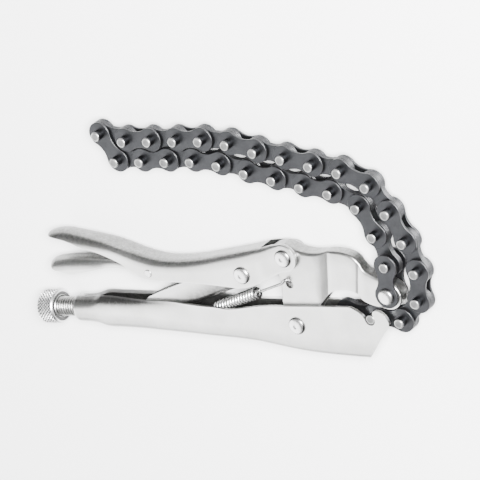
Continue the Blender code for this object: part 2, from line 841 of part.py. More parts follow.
def build_chain():
    """Thirty links: outer ones with pins and inner stacks between them."""
    plate_inner = inner_stack_half + fit_gap
    outer = outer_link_mesh("link_outer", plate_inner, plate_inner + outer_plate_thick, (0, chain_pitch), [])
    nose_inner = jaw_nose_half_width + fit_gap
    nose_outer = nose_inner + outer_plate_thick
    hole = chain_pin_radius + fit_gap
    nose = outer_link_mesh("link_nose", nose_inner, nose_outer, (chain_pitch,),
                           [ring_points((0, 0), hole, hole_steps)])
    rivet("nose_rivet", nose_pivot, nose_outer, nose_rivet_head_radius, chain_pin_radius,
          nose_outer + nose_rivet_dome)
    holes = [ring_points((0, 0), hole, hole_steps), ring_points((chain_pitch, 0), hole, hole_steps)]
    inner = plate_mesh("link_inner", [link_outline(chain_lobe_radius)] + holes, inner_stack_half)
    dark = steel("chain_outer", chain_colour, 0.45)
    dark_inner = steel("chain_inner", chain_colour, 0.5)
    made = []
    for i, heading in enumerate(link_headings()):
        mesh = nose if i == 0 else outer if i % 2 == 0 else inner
        link = add_part("link_%02d" % (i + 1), mesh, pin_places[i], dark if i % 2 == 0 else dark_inner,
                        math.radians(heading))
        soften(link, soft_angle)
        made.append(link)
    sleeve_outer = chain_pin_radius + fit_gap + outer_plate_thick
    sleeve_inner = chain_pin_radius + fit_gap
    length = nose_inner - fit_gap - inner_stack_half - fit_gap
    middle = inner_stack_half + fit_gap + length / 2
    for side, sign in (("near", 1), ("far", -1)):
        profile = [ring_points((0, 0), sleeve_outer, hole_steps), ring_points((0, 0), sleeve_inner, hole_steps)]
        mesh = plate_mesh("nose_spacer_" + side, profile, length / 2, sign * middle)
        made.append(add_part("nose_spacer_" + side, mesh, pin_places[1], steel("nose_spacer_" + side)))
    return made


def spring_route():
    """Centre line of the spring: hook in the handle, coils, straight leg and hook in the jaw's wall."""
    tail = Vector((spring_tail_shares[0] * handle_reach, spring_tail_shares[1] * handle_depth, 0))
    hole = Vector((spring_hole_shares[0] * jaw_reach, spring_hole_shares[1] * jaw_rise, 0))
    outside = jaw_half_width + spring_lift
    hole_end = Vector((hole.x, hole.y, outside))
    run = hole_end - tail
    along = run.normalized()
    side = along.cross(Vector((0, 0, 1))).normalized()
    up = side.cross(along)
    coil_length = spring_turns * spring_coil_pitch
    start = tail + along * (spring_hook_radius + spring_hook_radius)
    points = []
    for i in range(spring_lead_points):
        points.append(tail + (start - tail) * (i / spring_lead_points))
    steps = spring_turns * spring_points_per_turn
    for i in range(steps + 1):
        share = i / steps
        ramp = min(share * spring_turns, (1 - share) * spring_turns, 1)
        turn = math.tau * spring_turns * share
        radius = spring_coil_radius * ramp
        points.append(start + along * (coil_length * share) + side * (radius * math.cos(turn))
                      + up * (radius * math.sin(turn)))
    points.append(hole_end - along * spring_hook_radius)
    bend = spring_hook_radius / 2
    points.append(hole_end - along * (bend / 2))
    points.append(hole_end - Vector((0, 0, bend / 2)))
    points.append(hole_end - Vector((0, 0, bend + jaw_wall)))
    return points



def build_spring():
    """One unbroken wire along the route."""
    points = spring_route()
    curve = bpy.data.curves.new("tension_spring", "CURVE")
    curve.dimensions = "3D"
    curve.bevel_depth = spring_wire_radius
    curve.bevel_resolution = 1
    curve.use_fill_caps = True
    spline = curve.splines.new("POLY")
    spline.points.add(len(points) - 1)
    for point, place in zip(spline.points, points):
        point.co = (place.x, place.y, place.z, 1)
    made = bpy.data.objects.new("tension_spring", curve)
    made.location = (0, 0, rest_height)
    curve.materials.append(steel("tension_spring", roughness=0.25))
    part_collection.objects.link(made)
    least = min((a - b).length for i, a in enumerate(points) for b in points[i + spring_points_per_turn - 1:])
    print("tension_spring: least gap to itself %.2f mm" % ((least - spring_wire_radius * 2) * 1000))
    return made


def main():
    """Build every piece."""
    clear_scene()
    build_handle()
    build_jaw()
    build_lever()
    build_toggle()
    build_blade()
    for name, place in (("jaw_pivot_rivet", (0, 0)), ("lever_pivot_rivet", lever_pivot),
                        ("toggle_rivet", toggle_pivot)):
        rivet(name, place, handle_half_width, rivet_head_radius, rivet_shank_radius, rest_height)
    build_pin("release_pin", blade_pivot, small_pin_radius, handle_half_width + small_pin_proud)
    made, face = build_screw()
    build_knob(face)
    build_chain()
    build_spring()


main()
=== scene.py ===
"""Finish and fine shapes of a locking chain clamp.

Pressed-sheet handles and jaw, domed rivets, knurled knob, threaded screw, pull spring and chain.

Tables of places are millimetres in the side view, measured from the jaw pivot.
Heights are measured from the middle plane of the tool, which lies on its side.
"""

import json
import math

import bmesh
import bpy
import numpy as np
from bpy.props import FloatProperty, FloatVectorProperty, IntProperty, PointerProperty
from mathutils import Matrix, Vector


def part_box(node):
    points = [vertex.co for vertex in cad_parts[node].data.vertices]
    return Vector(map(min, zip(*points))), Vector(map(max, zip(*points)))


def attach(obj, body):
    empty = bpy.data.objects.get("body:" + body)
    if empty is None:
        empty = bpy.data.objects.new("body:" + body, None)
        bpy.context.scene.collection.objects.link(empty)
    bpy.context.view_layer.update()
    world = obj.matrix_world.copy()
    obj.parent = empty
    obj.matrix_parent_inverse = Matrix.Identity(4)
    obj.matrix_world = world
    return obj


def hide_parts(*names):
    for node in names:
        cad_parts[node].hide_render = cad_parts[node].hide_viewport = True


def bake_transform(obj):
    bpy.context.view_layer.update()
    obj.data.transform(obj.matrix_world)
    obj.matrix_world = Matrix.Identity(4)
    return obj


bl_info = {
    "name": "Chain clamp finish",
    "version": (1, 0, 0),
    "blender": (4, 5, 0),
    "location": "3D View > Sidebar > Chain clamp",
    "description": "Builds the visible pieces and finishes of a locking chain clamp",
    "category": "Object",
}

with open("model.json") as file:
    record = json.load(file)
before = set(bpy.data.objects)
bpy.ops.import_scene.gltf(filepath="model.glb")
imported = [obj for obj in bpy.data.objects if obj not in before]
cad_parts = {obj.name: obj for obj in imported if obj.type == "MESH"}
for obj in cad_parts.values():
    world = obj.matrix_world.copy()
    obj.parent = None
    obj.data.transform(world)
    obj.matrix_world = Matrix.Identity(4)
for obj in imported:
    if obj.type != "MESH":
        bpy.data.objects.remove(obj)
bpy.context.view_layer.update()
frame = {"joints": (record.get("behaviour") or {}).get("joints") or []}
JOINTS = {joint["name"]: joint for joint in frame["joints"]}
MM = 0.001
REST_HEIGHT = JOINTS["jaw_open"]["pos_m"][2]
LINK_COUNT = sum(name.startswith("chain_") for name in JOINTS)


# Tables of places, mm

# Fixed handle: x, web y, near edge y, far edge y, bend radius, height where the curl starts
HANDLE_ROWS = (
    (-141.3, -2.3, 14.7, 14.7, 6.8, 5.2),
    (-138.0, -2.4, 14.8, 14.8, 6.8, 5.2),
    (-133.0, -2.6, 14.9, 14.9, 6.8, 5.3),
    (-128.0, -3.2, 15.1, 15.1, 6.5, 5.8),
    (-123.5, -4.6, 14.9, 14.9, 6.3, 7.4),
    (-113.0, -4.9, 14.3, 14.3, 5.9, 7.6),
    (-99.0, -5.2, 12.9, 12.8, 5.3, 7.7),
    (-88.0, -5.8, 12.1, 11.9, 4.8, 8.6),
    (-75.0, -6.5, 11.6, 11.8, 4.3, 9.2),
    (-66.0, -7.0, 10.6, 11.8, 3.9, 10.0),
    (-57.0, -7.6, 9.6, 11.7, 3.5, 12.0),
    (-47.8, -8.2, 9.0, 10.9, 3.5, 13.0),
    (-40.0, -8.8, 8.0, 10.3, 3.5, 13.0),
    (-33.0, -9.4, 8.6, 9.5, 3.5, 13.0),
    (-27.0, -10.1, 9.4, 8.9, 3.5, 13.0),
    (-18.0, -11.7, 10.2, 8.8, 3.5, 13.0),
    (-3.0, -14.4, 10.3, 8.8, 3.5, 13.0),
    (17.0, -16.5, 10.4, 8.9, 3.5, 13.0),
    (32.0, -17.4, 10.4, 9.2, 3.5, 13.0),
    (62.0, -18.2, 10.4, 9.2, 3.5, 13.0),
)
# Cuts at the fixed handle's front, from the hooked pin: slope down to the notch, tooth and chin
NOTCH_SLOPE = (
    (-14.0, 8.4), (-11.0, 7.0), (-9.6, 6.45), (-8.2, 5.7), (-6.4, 4.6), (-4.8, 3.35), (-3.5, 1.8),
    (-2.9, 0.3),
)
TOOTH = (
    (2.84, 0.4), (2.5, 1.9), (2.2, 3.0), (2.6, 4.1), (3.8, 4.85), (5.4, 4.9), (7.3, 4.1), (9.0, 2.2),
    (10.2, -0.2), (10.5, -2.0), (9.9, -3.6), (6.8, -6.7), (3.4, -10.2), (-0.4, -14.9), (-5.7, -20.8),
    (-9.0, -25.0),
)
CHIN = TOOTH[9:]
# How far the chin's cut moves along and down for every mm deeper below the near face
CHIN_SLANT = (0.83, 0.46)
# Jaw: web x and y, edge x and y, half width
JAW_ROWS = (
    (-9.8, 38.6, -11.3, 35.0, 4.7),
    (-8.0, 39.7, -5.6, 33.0, 4.7),
    (-6.2, 40.6, -4.4, 27.0, 4.7),
    (-2.5, 41.8, -4.8, 18.2, 4.7),
    (1.5, 42.2, -6.4, 11.5, 4.7),
    (3.2, 41.9, -7.1, 4.0, 4.7),
    (4.4, 41.5, -7.0, -1.5, 4.7),
    (5.5, 41.0, -5.0, -5.2, 4.7),
    (6.8, 40.4, -1.0, -7.1, 4.7),
    (8.2, 39.8, 3.5, -6.3, 4.7),
    (9.6, 39.2, 6.6, -2.9, 4.7),
    (11.5, 38.6, 8.4, 2.6, 4.7),
    (14.8, 37.9, 11.4, 6.4, 4.7),
    (19.5, 37.6, 15.2, 10.2, 4.6),
    (22.3, 37.7, 17.2, 11.9, 4.3),
    (24.6, 38.0, 19.0, 13.5, 3.85),
    (26.2, 38.3, 20.3, 14.7, 3.45),
    (27.0, 38.4, 21.0, 15.3, 3.1),
    (27.6, 38.4, 21.7, 15.8, 3.25),
    (28.6, 38.4, 23.0, 16.6, 3.55),
    (30.5, 38.3, 25.6, 17.6, 3.62),
    (34.0, 37.9, 29.6, 18.2, 3.6),
    (38.5, 36.7, 34.0, 17.9, 3.6),
    (41.6, 34.9, 36.8, 17.1, 3.55),
    (42.9, 33.4, 38.0, 16.3, 3.4),
    (43.5, 32.3, 38.7, 15.6, 3.1),
    (44.1, 30.9, 39.5, 14.7, 3.35),
    (45.2, 28.8, 40.9, 13.0, 3.7),
    (48.5, 26.3, 45.2, 10.6, 3.7),
    (53.0, 24.1, 51.0, 9.1, 3.7),
    (57.0, 22.9, 55.0, 8.3, 3.7),
    (60.5, 21.2, 58.3, 8.5, 3.7),
    (62.6, 18.8, 61.2, 10.2, 3.7),
    (63.5, 16.4, 63.1, 12.9, 3.7),
)
# Lever handle: web x and y, edge x and y, half width, bend radius
LEVER_ROWS = (
    (-148.0, 47.6, -147.9, 47.2, 2.6, 2.4),
    (-147.4, 48.2, -147.2, 47.2, 4.4, 4.1),
    (-145.8, 49.0, -145.5, 47.2, 6.0, 5.6),
    (-143.2, 49.6, -142.8, 47.0, 6.8, 6.2),
    (-139.4, 50.0, -139.0, 46.5, 7.0, 6.4),
    (-135.5, 49.9, -135.9, 45.9, 7.0, 6.4),
    (-130.0, 48.9, -130.3, 44.2, 7.0, 6.2),
    (-121.0, 47.0, -122.7, 41.3, 7.0, 5.6),
    (-113.0, 45.0, -113.4, 38.6, 7.0, 4.7),
    (-107.0, 43.3, -106.9, 36.0, 7.0, 4.0),
    (-101.0, 41.1, -100.6, 32.8, 7.0, 3.4),
    (-94.0, 38.8, -93.5, 27.6, 7.0, 4.0),
    (-88.0, 36.9, -87.5, 24.6, 7.0, 4.2),
    (-81.4, 35.2, -81.4, 23.7, 7.0, 4.3),
    (-75.0, 34.3, -75.0, 23.3, 7.0, 4.3),
    (-67.4, 34.0, -67.4, 22.9, 7.0, 4.3),
    (-58.0, 34.4, -58.0, 22.5, 7.0, 4.3),
    (-50.8, 35.1, -50.8, 22.0, 7.0, 4.2),
    (-37.1, 37.1, -37.1, 20.7, 7.0, 3.9),
    (-28.0, 38.4, -28.0, 19.9, 7.0, 3.6),
    (-20.0, 39.6, -20.0, 21.3, 6.9, 3.2),
    (-15.0, 40.4, -15.0, 23.1, 6.8, 2.8),
    (-12.2, 40.9, -12.2, 24.2, 6.95, 2.8),
    (-8.0, 41.8, -8.0, 25.8, 7.0, 2.6),
    (-4.0, 42.7, -4.0, 27.5, 7.0, 2.0),
    (0.0, 43.2, -0.6, 28.8, 7.0, 1.2),
    (2.4, 43.4, 2.4, 29.0, 7.0, 0.7),
    (5.2, 42.8, 5.2, 29.6, 7.0, 0.5),
    (7.5, 41.3, 7.5, 31.1, 7.0, 0.4),
    (9.0, 39.1, 9.0, 33.3, 7.0, 0.3),
    (9.6, 36.6, 9.6, 35.8, 7.0, 0.2),
)
# The lever's far ear, which is smaller: web x and y, edge x and y, in place of the last nine rows above
FAR_EAR_ROWS = (
    (-12.2, 40.9, -12.2, 24.2),
    (-8.0, 41.3, -8.0, 25.8),
    (-4.0, 41.4, -4.0, 28.0),
    (-0.5, 41.1, -0.6, 30.4),
    (2.4, 40.7, 2.4, 31.4),
    (4.6, 40.2, 4.6, 32.1),
    (6.0, 39.1, 6.0, 33.3),
    (6.8, 37.8, 6.8, 34.7),
    (7.1, 36.8, 7.1, 35.7),
)
# Toggle link, its own line along x from the toggle pivot: web x and y, edge x and y
TOGGLE_ROWS = (
    (-70.2, 1.6, -70.1, 4.6),
    (-69.5, -0.6, -69.4, 7.2),
    (-68.0, -2.8, -67.8, 8.2),
    (-64.0, -4.3, -64.0, 8.4),
    (-46.0, -4.9, -46.0, 8.3),
    (-30.0, -5.1, -30.0, 7.4),
    (-24.0, -5.2, -24.0, 7.0),
    (-12.0, -5.8, -12.0, 6.3),
    (-5.0, -6.1, -5.0, 6.3),
    (0.0, -6.2, 0.0, 6.2),
    (2.6, -5.7, 2.6, 5.7),
    (4.6, -4.2, 4.6, 4.2),
    (5.9, -2.1, 5.9, 2.1),
    (6.2, -0.3, 6.2, 0.3),
)
# Release lever: web x and y, edge x and y, half width, bend radius
RELEASE_ROWS = (
    (-151.4, 31.6, -151.3, 31.1, 2.8, 2.6),
    (-150.8, 32.3, -150.6, 30.6, 4.3, 4.0),
    (-149.4, 33.2, -149.2, 29.6, 5.5, 5.1),
    (-147.4, 34.0, -147.2, 28.7, 6.1, 5.7),
    (-144.0, 34.6, -143.7, 27.9, 6.4, 6.0),
    (-138.0, 35.2, -138.0, 26.9, 6.4, 6.0),
    (-130.0, 35.4, -130.0, 27.3, 6.4, 6.0),
    (-122.0, 35.2, -122.0, 28.5, 6.1, 5.4),
    (-114.0, 34.6, -114.0, 29.3, 5.0, 4.0),
    (-108.0, 34.3, -108.0, 29.5, 4.7, 3.3),
    (-98.0, 32.9, -98.0, 28.2, 4.7, 3.3),
    (-91.0, 31.9, -91.0, 25.0, 4.7, 3.3),
    (-84.5, 31.5, -84.5, 23.7, 4.7, 3.3),
    (-81.5, 31.3, -81.2, 24.8, 4.7, 3.3),
    (-80.3, 31.2, -80.1, 27.6, 4.7, 3.3),
)
# Spring: rear end, and the hook from its straight leg over the jaw's edge into the hole
SPRING_TAIL = (-56.5, 4.6, 0.0)
SPRING_HOOK = (
    (-3.5, 22.2, 6.0), (-2.3, 22.9, 6.2), (-1.3, 23.8, 6.5), (-0.3, 24.5, 6.6), (0.6, 24.5, 6.4),
    (1.1, 24.0, 5.9), (1.2, 23.2, 5.0), (1.0, 22.5, 4.0), (0.6, 21.9, 2.9),
)
SPRING_HOLE = (0.5, 21.3)
SPRING_HOLE_RADIUS = 2.2

PIVOTS = {
    "jaw_pivot_rivet": (JOINTS["jaw_open"]["pos_m"], "handle_body"),
    "lever_pivot_rivet": (JOINTS["lever_open"]["pos_m"], "lever_body"),
    "toggle_rivet": (JOINTS["toggle_turn"]["pos_m"], "lever_body"),
}

# Sheets: grid columns from the web's middle to its bend, and up the wall
WEB_COLUMNS = 8
WALL_COLUMNS = 10
# Sharpest inner bend, and how nearly the flat columns of a web reach its bend
SHARPEST_BEND = 0.05
FLAT_SHARE = 0.999
# Roll round the screw: its radius, where along the handle it ends, and a height that no wall reaches
CURL_RADIUS = 7.0
CURL_END = -50.0
NO_CURL = 90.0
# Slot in the lever's web: where it starts and half its width
SLOT_START = -11.8
SLOT_HALF = 5.3
# How far the toggle link runs and rises, which gives its slope
TOGGLE_RUN = (62.5, 21.8)
# Outer bends of the jaw and of the toggle link, as a share of their half widths
JAW_BEND = 0.36
TOGGLE_BEND = 0.95
# Prisms that cut the fixed handle's front: their far corners from the hooked pin, how far across the chin's
# one starts, and a distance across that is past the sheet
NOTCH_OUTSIDE = ((45.0, -25.0), (45.0, 14.0), (-14.0, 14.0))
CHIN_OUTSIDE = ((40.0, -25.0), (40.0, -2.0))
CHIN_TOP = 7.0
PAST_SHEET = 9.0
# Painted shade on the plating outside, by column from the web's middle, and inside: nearly full over the
# web, fading over the bend, none on the wall, and strong inside the channel
PAINTED_SHADE_COLUMNS = (0, 7, 13, 17)
PAINTED_SHADE_OUTSIDE = (0.95, 0.95, 0.5, 0.0)
PAINTED_SHADE_INSIDE = 0.8

# Rivets: points over a dome, gap under a head, height of the heads over the handle, shank radius, depth of
# the dimple, and radius and height of the smaller far head of the lever's pivot
DOME_POINTS = 15
HEAD_GAP = 0.1
HEAD_RISE = 1.5
SHANK_RADIUS = 3.0
DIMPLE = 0.3
SMALL_HEAD = (3.6, 0.75)
# Nose rivet: head radius, underside and top. Release pin: radius, rise over the handle and rounding
NOSE_HEAD = (4.2, 5.25, 6.95)
RELEASE_PIN = (2.2, 0.4, 0.5)

# Screw: the thread's length, crest radius and depth, radius of the smooth end, how far it stops short
THREAD_LENGTH = 36.0
THREAD_CREST = 5.1
THREAD_DEPTH = 0.75
SHANK_END = 4.0
TIP_GAP = 4.0
# Knob: how far it passes the plain solid at rear and hub, step at the front, the knurl's depth and lead
KNOB_REAR = 0.3
KNOB_HUB = 2.0
KNOB_STEP = 0.9
KNURL_DEPTH = 0.6
KNURL_LEAD = 1.9

# Chain: pin radius, radius clear of a pin, half a pin's length, half a plate's waist, its soft edge
PIN_RADIUS = 2.54
CLEAR_RADIUS = 2.84
PIN_HALF = 6.7
WAIST_HALF = 4.3
PLATE_SOFT = 0.22
# A pin's end from its middle out: radius, how far below the very end, and how light: lightest on the chamfer
# ring, none down the side, where the dark chain colour stands as painted shade
PIN_END = (
    (0.0, 0.1, 0.2), (0.8, 0.1, 0.2), (1.7, 0.04, 0.25), (1.95, 0.0, 0.7),
    (2.15, 0.02, 0.9), (2.36, 0.2, 0.6), (2.5, 0.45, 0.1), (2.54, 0.8, 0.0),
)
# Nose spacers: outer radius, inner and outer face from the middle, rounding
SPACER = (3.99, 1.7, 3.7, 0.2)
# Low and high face of every plate of a link: the first link, the other outer links, the inner links
FIRST_PLATES = ((4.0, 5.15), (-5.15, -4.0))
OUTER_PLATES = ((1.7, 2.85), (-2.85, -1.7))
INNER_PLATES = ((0.50, 1.4), (-0.43, 0.43), (-1.4, -0.50))

# Spring: coils, their pitch and radius, and how far from the tail the first one starts
COILS = 17
COIL_PITCH = 2.15
COIL_RADIUS = 2.6
COIL_START = 3.2

# Finishes: main colour and patches, roughness, scale of the patches and of the grain, strength of the waves
# and of the grain's relief, colour and strength of the marked places: real wear on the edges of sheets and
# chain plates, painted shade and highlight on the other pieces
FINISHES = {
    "satin nickel sheet": ("sheet", "sheet_stain", 0.34, 55.0, 2600.0, 0.10, 0.10, "rivet", 0.5),
    "polished rivet": ("rivet", "sheet_stain", 0.28, 160.0, 3000.0, 0.05, 0.06, "groove_shade", 1.0),
    "turned steel": ("groove_shade", "sheet_shade_and_mottle", 0.30, 120.0, 1500.0, 0.03, 0.10, "sheet_stain", 1.1),
    "knurled steel": ("groove_shade", "sheet_shade_and_mottle", 0.32, 160.0, 2600.0, 0.02, 0.08, "rivet", 1.2),
    "spring wire": ("groove_shade", "sheet_shade_and_mottle", 0.26, 200.0, 3000.0, 0.0, 0.05, "rivet", 1.1),
    "phosphated chain plate": ("chain", "chain_dark", 0.42, 150.0, 2200.0, 0.06, 0.16, "chain_worn", 0.9),
    "chain pin": ("chain", "chain_dark", 0.36, 260.0, 2600.0, 0.05, 0.12, "pin", 1.0),
}
TURNED_GRAIN = (6, 1, 1)
EVEN_GRAIN = (1, 1, 1)

# Lights: name, place, size and power, all aimed at the middle of the clamp
LIGHTS = (
    ("panel", (-0.98, -0.50, 0.68), 1.5, 31.0),
    ("floor lamp", (0.85, 0.47, 1.03), 0.6, 175.0),
)
LIGHT_AIM = (-0.05, 0.03, 0.0)
# Camera: its place over the clamp's middle plane, the direction to its right and the one behind it
CAMERA_PLACE = (0.86673, 0.53393, 1.06771)
CAMERA_RIGHT = (0.7962, -0.2527, -0.5497)
CAMERA_BACK = (0.605, 0.3326, 0.7234)


# Smooth tables and surfaces

def smooth_rows(rows, step):
    """Smooth line through a table's rows, read off about every step mm.

    Each column is a cubic between neighbouring rows. Its slope at a row is the mean of the slopes beside it,
    weighted by how near they are, and the parameter is the distance covered by all columns together.
    """
    rows = np.array(rows, float)
    spans = np.linalg.norm(np.diff(rows, axis=0), axis=1)
    at = np.concatenate([[0], np.cumsum(spans)])
    slopes = np.gradient(rows, at, axis=0)
    wanted = np.linspace(0, at[-1], int(at[-1] / step) + 2)
    k = np.clip(np.searchsorted(at, wanted, side="right") - 1, 0, len(rows) - 2)
    span = spans[k][:, None]
    t = (wanted[:, None] - at[k][:, None]) / span
    a = 2 * t**3 - 3 * t**2 + 1
    b = t**3 - 2 * t**2 + t
    c = 3 * t**2 - 2 * t**3
    d = t**3 - t**2
    return a * rows[k] + b * span * slopes[k] + c * rows[k + 1] + d * span * slopes[k + 1]


def side_of_section(web, edge, half, bend, thick, level, curl, slot):
    """One side of a channel's section at every station, from the middle of the web to the wall's edge.

    The web is flat up to half - bend across. The bend is a quarter circle of that radius, and the wall goes
    straight on towards the edge. Above the curl it follows a circle of CURL_RADIUS back over the middle.
    The section is moved in by thick, except along the slot. Level is how far across the flat columns reach.
    """
    drop = np.linalg.norm(edge - web, axis=1)[:, None]
    away = ((edge - web) / drop)[:, None, :]
    half = half[:, None]
    bend = bend[:, None]
    moved = np.full_like(drop, thick)
    flat = half - thick
    arc = np.maximum(bend - thick, SHARPEST_BEND)
    if slot is not None:
        moved = np.where(slot[:, None], 0.0, moved)
        arc = np.where(slot[:, None], SHARPEST_BEND, arc)
    end = np.arccos(1 - np.minimum(drop / bend, 1))
    top = flat - arc * (1 - np.sin(end))
    if level is None:
        level = flat - arc * FLAT_SHARE
    first = np.minimum(level, top * 0.92)
    wave = np.sin(np.linspace(0, math.pi / 2, WEB_COLUMNS))
    across = np.concatenate([first * wave, first + (top - first) * wave[1:]], axis=1)
    over = np.clip(across - (flat - arc), 0, None)
    along = moved + arc - np.sqrt(np.clip(arc**2 - over**2, 0, None))
    arc_end = along[:, -1:]
    last = np.where(drop < bend, arc_end, np.maximum(drop, arc_end))
    wall_along = arc_end + (last - arc_end) * np.linspace(0, 1, WALL_COLUMNS + 1)[1:]
    wall_across = np.broadcast_to(top, wall_along.shape)
    if curl is not None:
        start = curl[:, None]
        turn = np.clip(wall_along - start, 0, None) / CURL_RADIUS
        radius = CURL_RADIUS - thick
        wall_across = np.where(turn > 0, half - CURL_RADIUS + radius * np.cos(turn), wall_across)
        wall_along = np.where(turn > 0, start + radius * np.sin(turn), wall_along)
    across = np.concatenate([across, wall_across], axis=1)
    along = np.concatenate([along, wall_along], axis=1)
    share = np.clip(across / first, 0, 1)
    share[:, 2 * WEB_COLUMNS - 1:] = 1
    return away * along[:, :, None], across, share


def sheet_surface(web, edge, *section):
    """Both sides of the section joined at the middle of the web, (stations, columns, 3) in mm."""
    middle = (web[0] + web[1]) / 2
    halves = []
    for side, sign in ((0, 1.0), (1, -1.0)):
        offset, across, share = side_of_section(web[side], edge[side], *section)
        ground = middle[:, None, :] + (web[side] - middle)[:, None, :] * share[:, :, None]
        halves.append(np.concatenate([ground + offset, across[:, :, None] * sign], axis=2))
    return np.concatenate([halves[1][:, :0:-1], halves[0]], axis=1)


def closed_sheet(outer, inner, keep):
    """Vertices, faces, wear marks and painted shade values of a sheet from its outer and inner surface.

    Every edge that only one kept face uses is joined across to the same edge of the other surface.
    """
    n, k = outer.shape[:2]
    index = np.arange(n * k).reshape(n, k)
    quads = np.stack([index[:-1, :-1], index[1:, :-1], index[1:, 1:], index[:-1, 1:]], -1)[keep]
    edges = np.concatenate([quads[:, [0, 1]], quads[:, [1, 2]], quads[:, [2, 3]], quads[:, [3, 0]]])
    _, first, counts = np.unique(np.sort(edges, 1), axis=0, return_index=True, return_counts=True)
    rim = edges[first[counts == 1]]
    far = n * k
    sides = np.stack([rim[:, 1], rim[:, 0], rim[:, 0] + far, rim[:, 1] + far], -1)
    faces = np.concatenate([quads, quads[:, ::-1] + far, sides])
    verts = np.concatenate([outer.reshape(-1, 3), inner.reshape(-1, 3)])
    wear_and_painted_light = np.zeros(2 * far)
    wear_and_painted_light[rim.ravel()] = 1.0
    wear_and_painted_light[rim.ravel() + far] = 1.0
    # Painted shade: nearly full on the web outside, fading over the bend to none on the wall, and strong all
    # over the inside
    column = np.abs(np.arange(k) - (k - 1) // 2)
    outside = np.tile(np.interp(column, PAINTED_SHADE_COLUMNS, PAINTED_SHADE_OUTSIDE), n)
    painted_shade = np.concatenate([outside, np.full(far, PAINTED_SHADE_INSIDE)])
    used, faces = np.unique(faces, return_inverse=True)
    return verts[used], faces.reshape(-1, 4), wear_and_painted_light[used], painted_shade[used]


def pressed_sheet(web, edge, half, bend, wall, curl=None, slot_after=None):
    """Closed channel of sheet metal. web and edge are (near, far) pairs of (stations, 2) lines in mm."""
    slot = outer_level = inner_level = None
    if slot_after is not None:
        slot = web[0][:, 0] > slot_after
        outer_level = SLOT_HALF
        inner_level = (half - wall - SHARPEST_BEND)[:, None]
    outer = sheet_surface(web, edge, half, bend, 0.0, outer_level, curl, None)
    inner = sheet_surface(web, edge, half, bend, wall, inner_level, curl, slot)
    keep = np.ones((outer.shape[0] - 1, outer.shape[1] - 1), bool)
    if slot is not None:
        stations = np.nonzero(slot[:-1])[0]
        centre = (outer.shape[1] - 1) // 2
        reach = WEB_COLUMNS - 1
        keep[stations[:, None], np.arange(centre - reach, centre + reach)] = False
    return closed_sheet(outer, inner, keep)


def circle(steps):
    """Angles of even steps round a full turn."""
    return np.linspace(0, math.tau, steps, endpoint=False)


def turned_surface(profile, steps):
    """Surface of revolution about the last axis: each (radius, height) of the profile on its own circle."""
    radius, height = np.array(profile, float).T
    turn = circle(steps)[:, None]
    x = radius * np.cos(turn)
    return np.stack([x, radius * np.sin(turn), np.broadcast_to(height, x.shape)], -1)


def shaft_surface(along, radius, turn, axis):
    """Rings round a shaft along x: each radius of the grid at its turn, and at its column's place along."""
    x = np.broadcast_to(along, radius.shape)
    return np.stack([x, axis + radius * np.cos(turn), radius * np.sin(turn)], -1)


def with_ends(before, grid, after):
    """Grid with the same columns added to every row, some before it and some after it."""
    rows = len(grid)
    return np.concatenate([np.broadcast_to(before, (rows, len(before))), grid,
                           np.broadcast_to(after, (rows, len(after)))], axis=1)


def ring_faces(rings, columns):
    """Quads of a grid that closes on itself round its first index."""
    index = np.arange(rings * columns).reshape(rings, columns)
    following = np.roll(index, -1, axis=0)
    return np.stack([index[:, :-1], following[:, :-1], following[:, 1:], index[:, 1:]], -1).reshape(-1, 4)


def tube_surface(path, radius, sides=10):
    """Round wire along a path: a circle square to the path at every point, carried on without twist."""
    along = np.gradient(path, axis=0)
    along /= np.linalg.norm(along, axis=1)[:, None]
    across = np.zeros_like(path)
    start = np.cross(along[0], (0.3, 0.2, 0.9))
    across[0] = start / np.linalg.norm(start)
    for i in range(1, len(path)):
        carried = across[i - 1] - along[i] * np.dot(across[i - 1], along[i])
        across[i] = carried / np.linalg.norm(carried)
    other = np.cross(along, across)
    turn = circle(sides)[:, None, None]
    grow = np.ones(len(path))
    grow[[0, -1]] = 0.6
    body = path + (across * np.cos(turn) + other * np.sin(turn)) * (radius * grow)[:, None]
    first = np.broadcast_to(path[0], (sides, 1, 3))
    last = np.broadcast_to(path[-1], (sides, 1, 3))
    return np.concatenate([first, body, last], axis=1)


def rounded(profile, radius):
    """Profile with its corners cut round: each becomes a quadratic curve between its two sides."""
    points = np.array(profile, float)
    t = np.linspace(0, 1, 4)[:, None]
    out = [points[:1]]
    for i in range(1, len(points) - 1):
        before = points[i - 1] - points[i]
        after = points[i + 1] - points[i]
        reach = min(radius, np.linalg.norm(before) * 0.45, np.linalg.norm(after) * 0.45)
        a = points[i] + before / np.linalg.norm(before) * reach
        b = points[i] + after / np.linalg.norm(after) * reach
        out.append((1 - t) ** 2 * a + 2 * t * (1 - t) * points[i] + t**2 * b)
    out.append(points[-1:])
    return np.concatenate(out)


def two_ended(near, far):
    """Profile from near end to far end, each given from its middle inwards. The far one is turned over."""
    return np.concatenate([near, far[::-1] * (1, -1)])


def rivet_head(radius, under, top, shank, dimple):
    """Head of a rivet from its top down to the shank: an oval dome on a short straight foot.

    The dome is an oval of power 3.4 that ends just short of its edge. The dimple is a bell 1.1 mm wide.
    """
    across = np.linspace(0, 1, DOME_POINTS)
    dome = np.sqrt(np.clip(1 - (across * 0.98) ** 3.4, 0, None))
    rise = (dome - dome[-1]) / (1 - dome[-1])
    foot = 0.32 * (top - under)
    height = under + foot + (top - under - foot) * rise
    height -= dimple * np.exp(-((across * radius / 1.1) ** 4))
    lower = [(radius, under + foot * 0.5), (radius * 0.985, under), (shank, under)]
    return np.concatenate([np.stack([radius * across, height], -1), lower])


